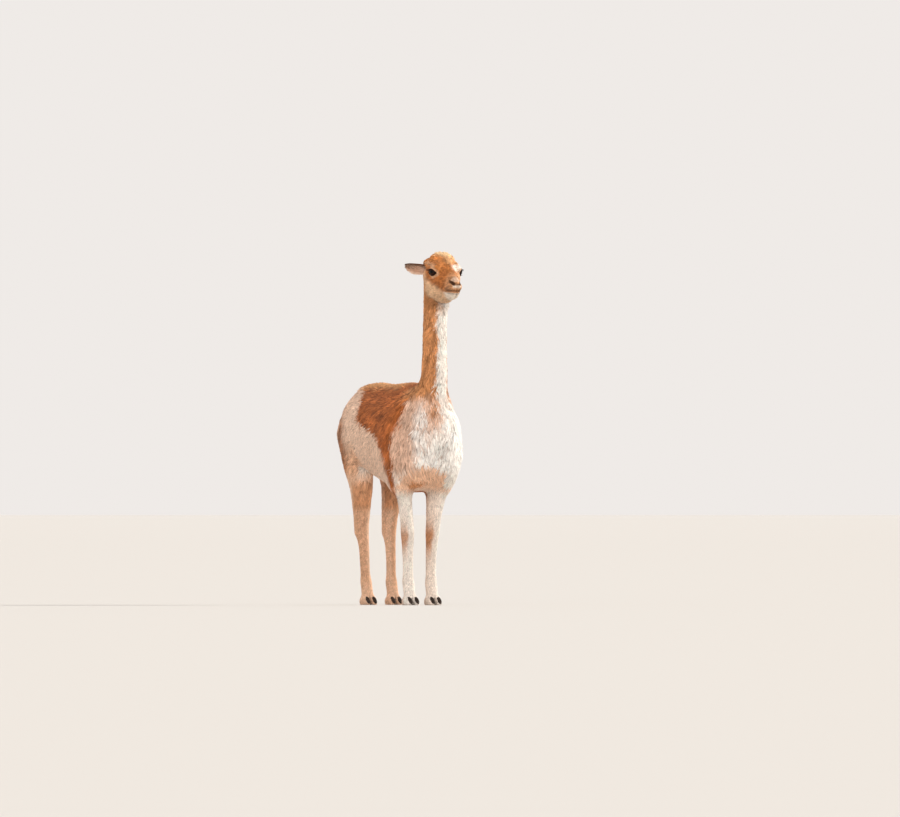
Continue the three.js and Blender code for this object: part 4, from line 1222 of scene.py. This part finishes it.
def make_eye(side, material):
    """A ball with a wide pupil in a dark brown iris, its clear front a little proud."""
    name = "eye_" + SIDES[side]
    middle, axes = eye_frame(side)
    rings, spokes = EYE_GRID
    away = (np.linspace(0, 1, rings + 2)[1:-1] ** 1.5 * math.pi)[:, None]
    turn = (np.arange(spokes) / spokes * math.tau)[None, :]
    radius = EYE_RADIUS + CORNEA["rise"] * hump(away, 0, CORNEA["spread"])
    ahead, rise = np.sin(away) * np.cos(turn), np.sin(away) * np.sin(turn)
    local = radius[..., None] * np.stack([ahead, rise, np.broadcast_to(np.cos(away), ahead.shape)], axis=-1)
    front = middle + axes[2] * (EYE_RADIUS + CORNEA["rise"])
    points, tris = lofted(local @ axes + middle, front, middle - axes[2] * EYE_RADIUS)
    tint = eye_tint((points - middle) @ axes.T)
    make_piece(name, points, tris, tint, spread(points, tris), material, [name])


def eye_tint(place):
    """A rayed iris with a dark edge round a wide pupil, and dark skin behind."""
    x, y, out = place.T[..., None]
    rays = 1 + 0.22 * np.sin(np.arctan2(y, x) * 41)
    edge = smooth(np.hypot(x, y), 11.5, 14) * (out > 0)
    pupil = fall((x / PUPIL[0]) ** 2 + (y / PUPIL[1]) ** 2, 0.85, 1.15)
    tint = mixed(linear("iris") * rays * (1 - 0.75 * edge), linear("pupil"), pupil)
    return np.where(out > 0, tint, linear("skin"))


LASHES = {"upper": 36, "lower": 12, "long": 8, "short": 3.5, "thick": 0.36}


def lash(root, way, length, drop):
    """One curved, tapering lash."""
    t = np.linspace(0, 1, 6)[:, None]
    way = unit(way[None, :])
    spine = root + length * (t * way + drop * t * t)
    around = np.linspace(0, math.tau, 4, endpoint=False)[None, :, None]
    side = unit(np.cross(way, np.array([[0.2, 0.3, 0.9]])))
    ring = np.cos(around) * side + np.sin(around) * np.cross(way, side)
    rings = spine[:-1, None, :] + (LASHES["thick"] * (1 - 0.85 * t[:-1]))[..., None] * ring
    return lofted(rings, spine[0] - way[0] * 0.5, spine[-1])


def make_lashes(side, material):
    middle, axes = eye_frame(side)
    rng = np.random.default_rng(50 + side)
    shapes = []
    for i, lid in enumerate(("upper", "lower")):
        for k in range(LASHES[lid]):
            fan = ((k + rng.random()) / LASHES[lid] - 0.5) * 2 * 0.94
            ahead = fan * LIDS["long"]
            up = lid_edges(np.array([ahead]))[i][0]
            deep = math.sqrt(max((EYE_RADIUS + 2.4) ** 2 - ahead ** 2 - up ** 2, 9))
            root = middle + np.array([ahead, up, deep]) @ axes
            if lid == "upper":
                length = LASHES["long"] * (0.75 + 0.35 * rng.random()) * (1 + 0.25 * (fan < -0.2))
                rise, drop = 0.1 + 0.15 * rng.normal(), -0.6
            else:
                length = LASHES["short"] * (0.7 + 0.5 * rng.random())
                rise, drop = -0.5 + 0.15 * rng.normal(), 0.1
            lean = 0.8 * fan - 0.3 + 0.1 * rng.normal()
            points, tris = lash(root, np.array([lean, rise, 0.6]) @ axes, length, drop * axes[1])
            shapes.append((points, tris, linear("lash")))
    points, tris, tint = joined(shapes)
    name = "lashes_" + SIDES[side]
    make_piece(name, points, tris, tint, spread(points, tris), material, ["head"])


def toenail(middle, heel):
    """A blunt nail, flatter below and above than a round one, with streaks of growth."""
    at = np.linspace(NAIL[0][0], NAIL[-1][0], 22)
    low, high, half = between(NAIL, at).T[..., None]
    around = np.linspace(0, math.tau, 28, endpoint=False)
    bend = np.sign(np.sin(around)) * np.abs(np.sin(around)) ** 0.85
    y, mid = (heel - at)[:, None], (low + high) / 2
    x = middle + half * np.cos(around)
    rings = np.stack([x, np.broadcast_to(y, x.shape), mid + (high - low) / 2 * bend], axis=-1)
    ends = [np.array([middle, y[k, 0] + past, mid[k, 0]]) for k, past in ((0, 1), (-1, -1))]
    points, tris = lofted(rings, *ends)
    streaks = smooth(noise(points * (1, 1, 0.4), 5, 40), -0.6, 0.8)
    return points, tris, linear("nail") * (0.7 + 0.7 * streaks)[:, None]


def make_toenails(material):
    shapes, nodes = [], []
    limbs, places = {"fore": FORE, "hind": HIND}, {"outer": CLEFT, "inner": -CLEFT}
    for (name, limb), side, (place, apart) in itertools.product(limbs.items(), SIDES, places.items()):
        heel = limb["heel"] + carried(limb, side > 0, 0)
        shapes.append(toenail(side * (limb["side"] + apart), heel))
        nodes.append(f"toenail_{name}_{place}_{SIDES[side]}")
    points, tris, tint = joined(shapes)
    make_piece("toenails", points, tris, tint, spread(points, tris), material, nodes)


FLOOR = {"radius": 1500, "sides": 128, "roughness": 0.95, "varies": 0.03}
FLOOR_COLOUR = np.array([0.62, 0.60, 0.57, 1])


def make_floor():
    """A pale plain floor, far wider than the view."""
    around = np.linspace(0, math.tau, FLOOR["sides"], endpoint=False)
    ring = FLOOR["radius"] * np.stack([np.cos(around), np.sin(around), 0 * around], axis=1)
    mesh = bpy.data.meshes.new("floor")
    mesh.from_pydata(ring.tolist(), [], [range(FLOOR["sides"])])
    material, shader = new_material("floor")
    grain = shader_node(material, "TexNoise", Scale=3)
    darker = FLOOR_COLOUR * (1 - FLOOR["varies"])
    span = shader_node(material, "MixRGB", Color1=(*darker[:3], 1), Color2=tuple(FLOOR_COLOUR))
    wire(material, (grain, "Fac", span, "Fac"), (span, "Color", shader, "Base Color"))
    set_inputs(shader, Roughness=FLOOR["roughness"])
    mesh.materials.append(material)
    added("floor", mesh)


# Suns: degrees round from the camera's right towards the back, height, softness in degrees and strength
LIGHTS = {
    "key": {"turn": 10, "high": 26, "soft": 12, "strength": 2.9, "colour": (1.0, 0.95, 0.89)},
    "fill": {"turn": 262, "high": 10, "soft": 60, "strength": 1.7, "colour": (1.0, 0.96, 0.93)},
}
WORLD = {"colour": (0.93, 0.89, 0.86, 1), "strength": 0.93}


def make_lights():
    right, away = camera_axes()
    for name, light in LIGHTS.items():
        turn, high, soft = (math.radians(light[key]) for key in ("turn", "high", "soft"))
        level = right * math.cos(turn) + away * math.sin(turn)
        way = level * math.cos(high) + Vector((0, 0, math.sin(high)))
        data = bpy.data.lights.new(name, "SUN")
        data.angle, data.energy, data.color = soft, light["strength"], light["colour"]
        aim(added(name, data), way * 5, -way)
    world = bpy.data.worlds.new("world")
    world.use_nodes = True
    set_inputs(world.node_tree.nodes["Background"], Color=WORLD["colour"], Strength=WORLD["strength"])
    bpy.context.scene.world = world
    bpy.context.scene.view_settings.view_transform = "Standard"


SKIN_SHADE = 0.8  # the skin under the tufts is darker than they are


def main():
    looks = {name: make_material(name, *finish) for name, finish in FINISHES.items()}
    points, tris = make_skin()
    tint, places = marks(points) * SKIN_SHADE, atlas(points[tris])
    make_piece("skin", points, tris, tint, places, looks["skin"], list(NODES.values()))
    make_coat(points, tris, looks["coat"])
    for side in SIDES:
        make_ear(side, looks["coat"], looks["skin"])
        make_eye(side, looks["eye"])
        make_lashes(side, looks["lash"])
    make_toenails(looks["nail"])
    make_floor()
    make_lights()


main()
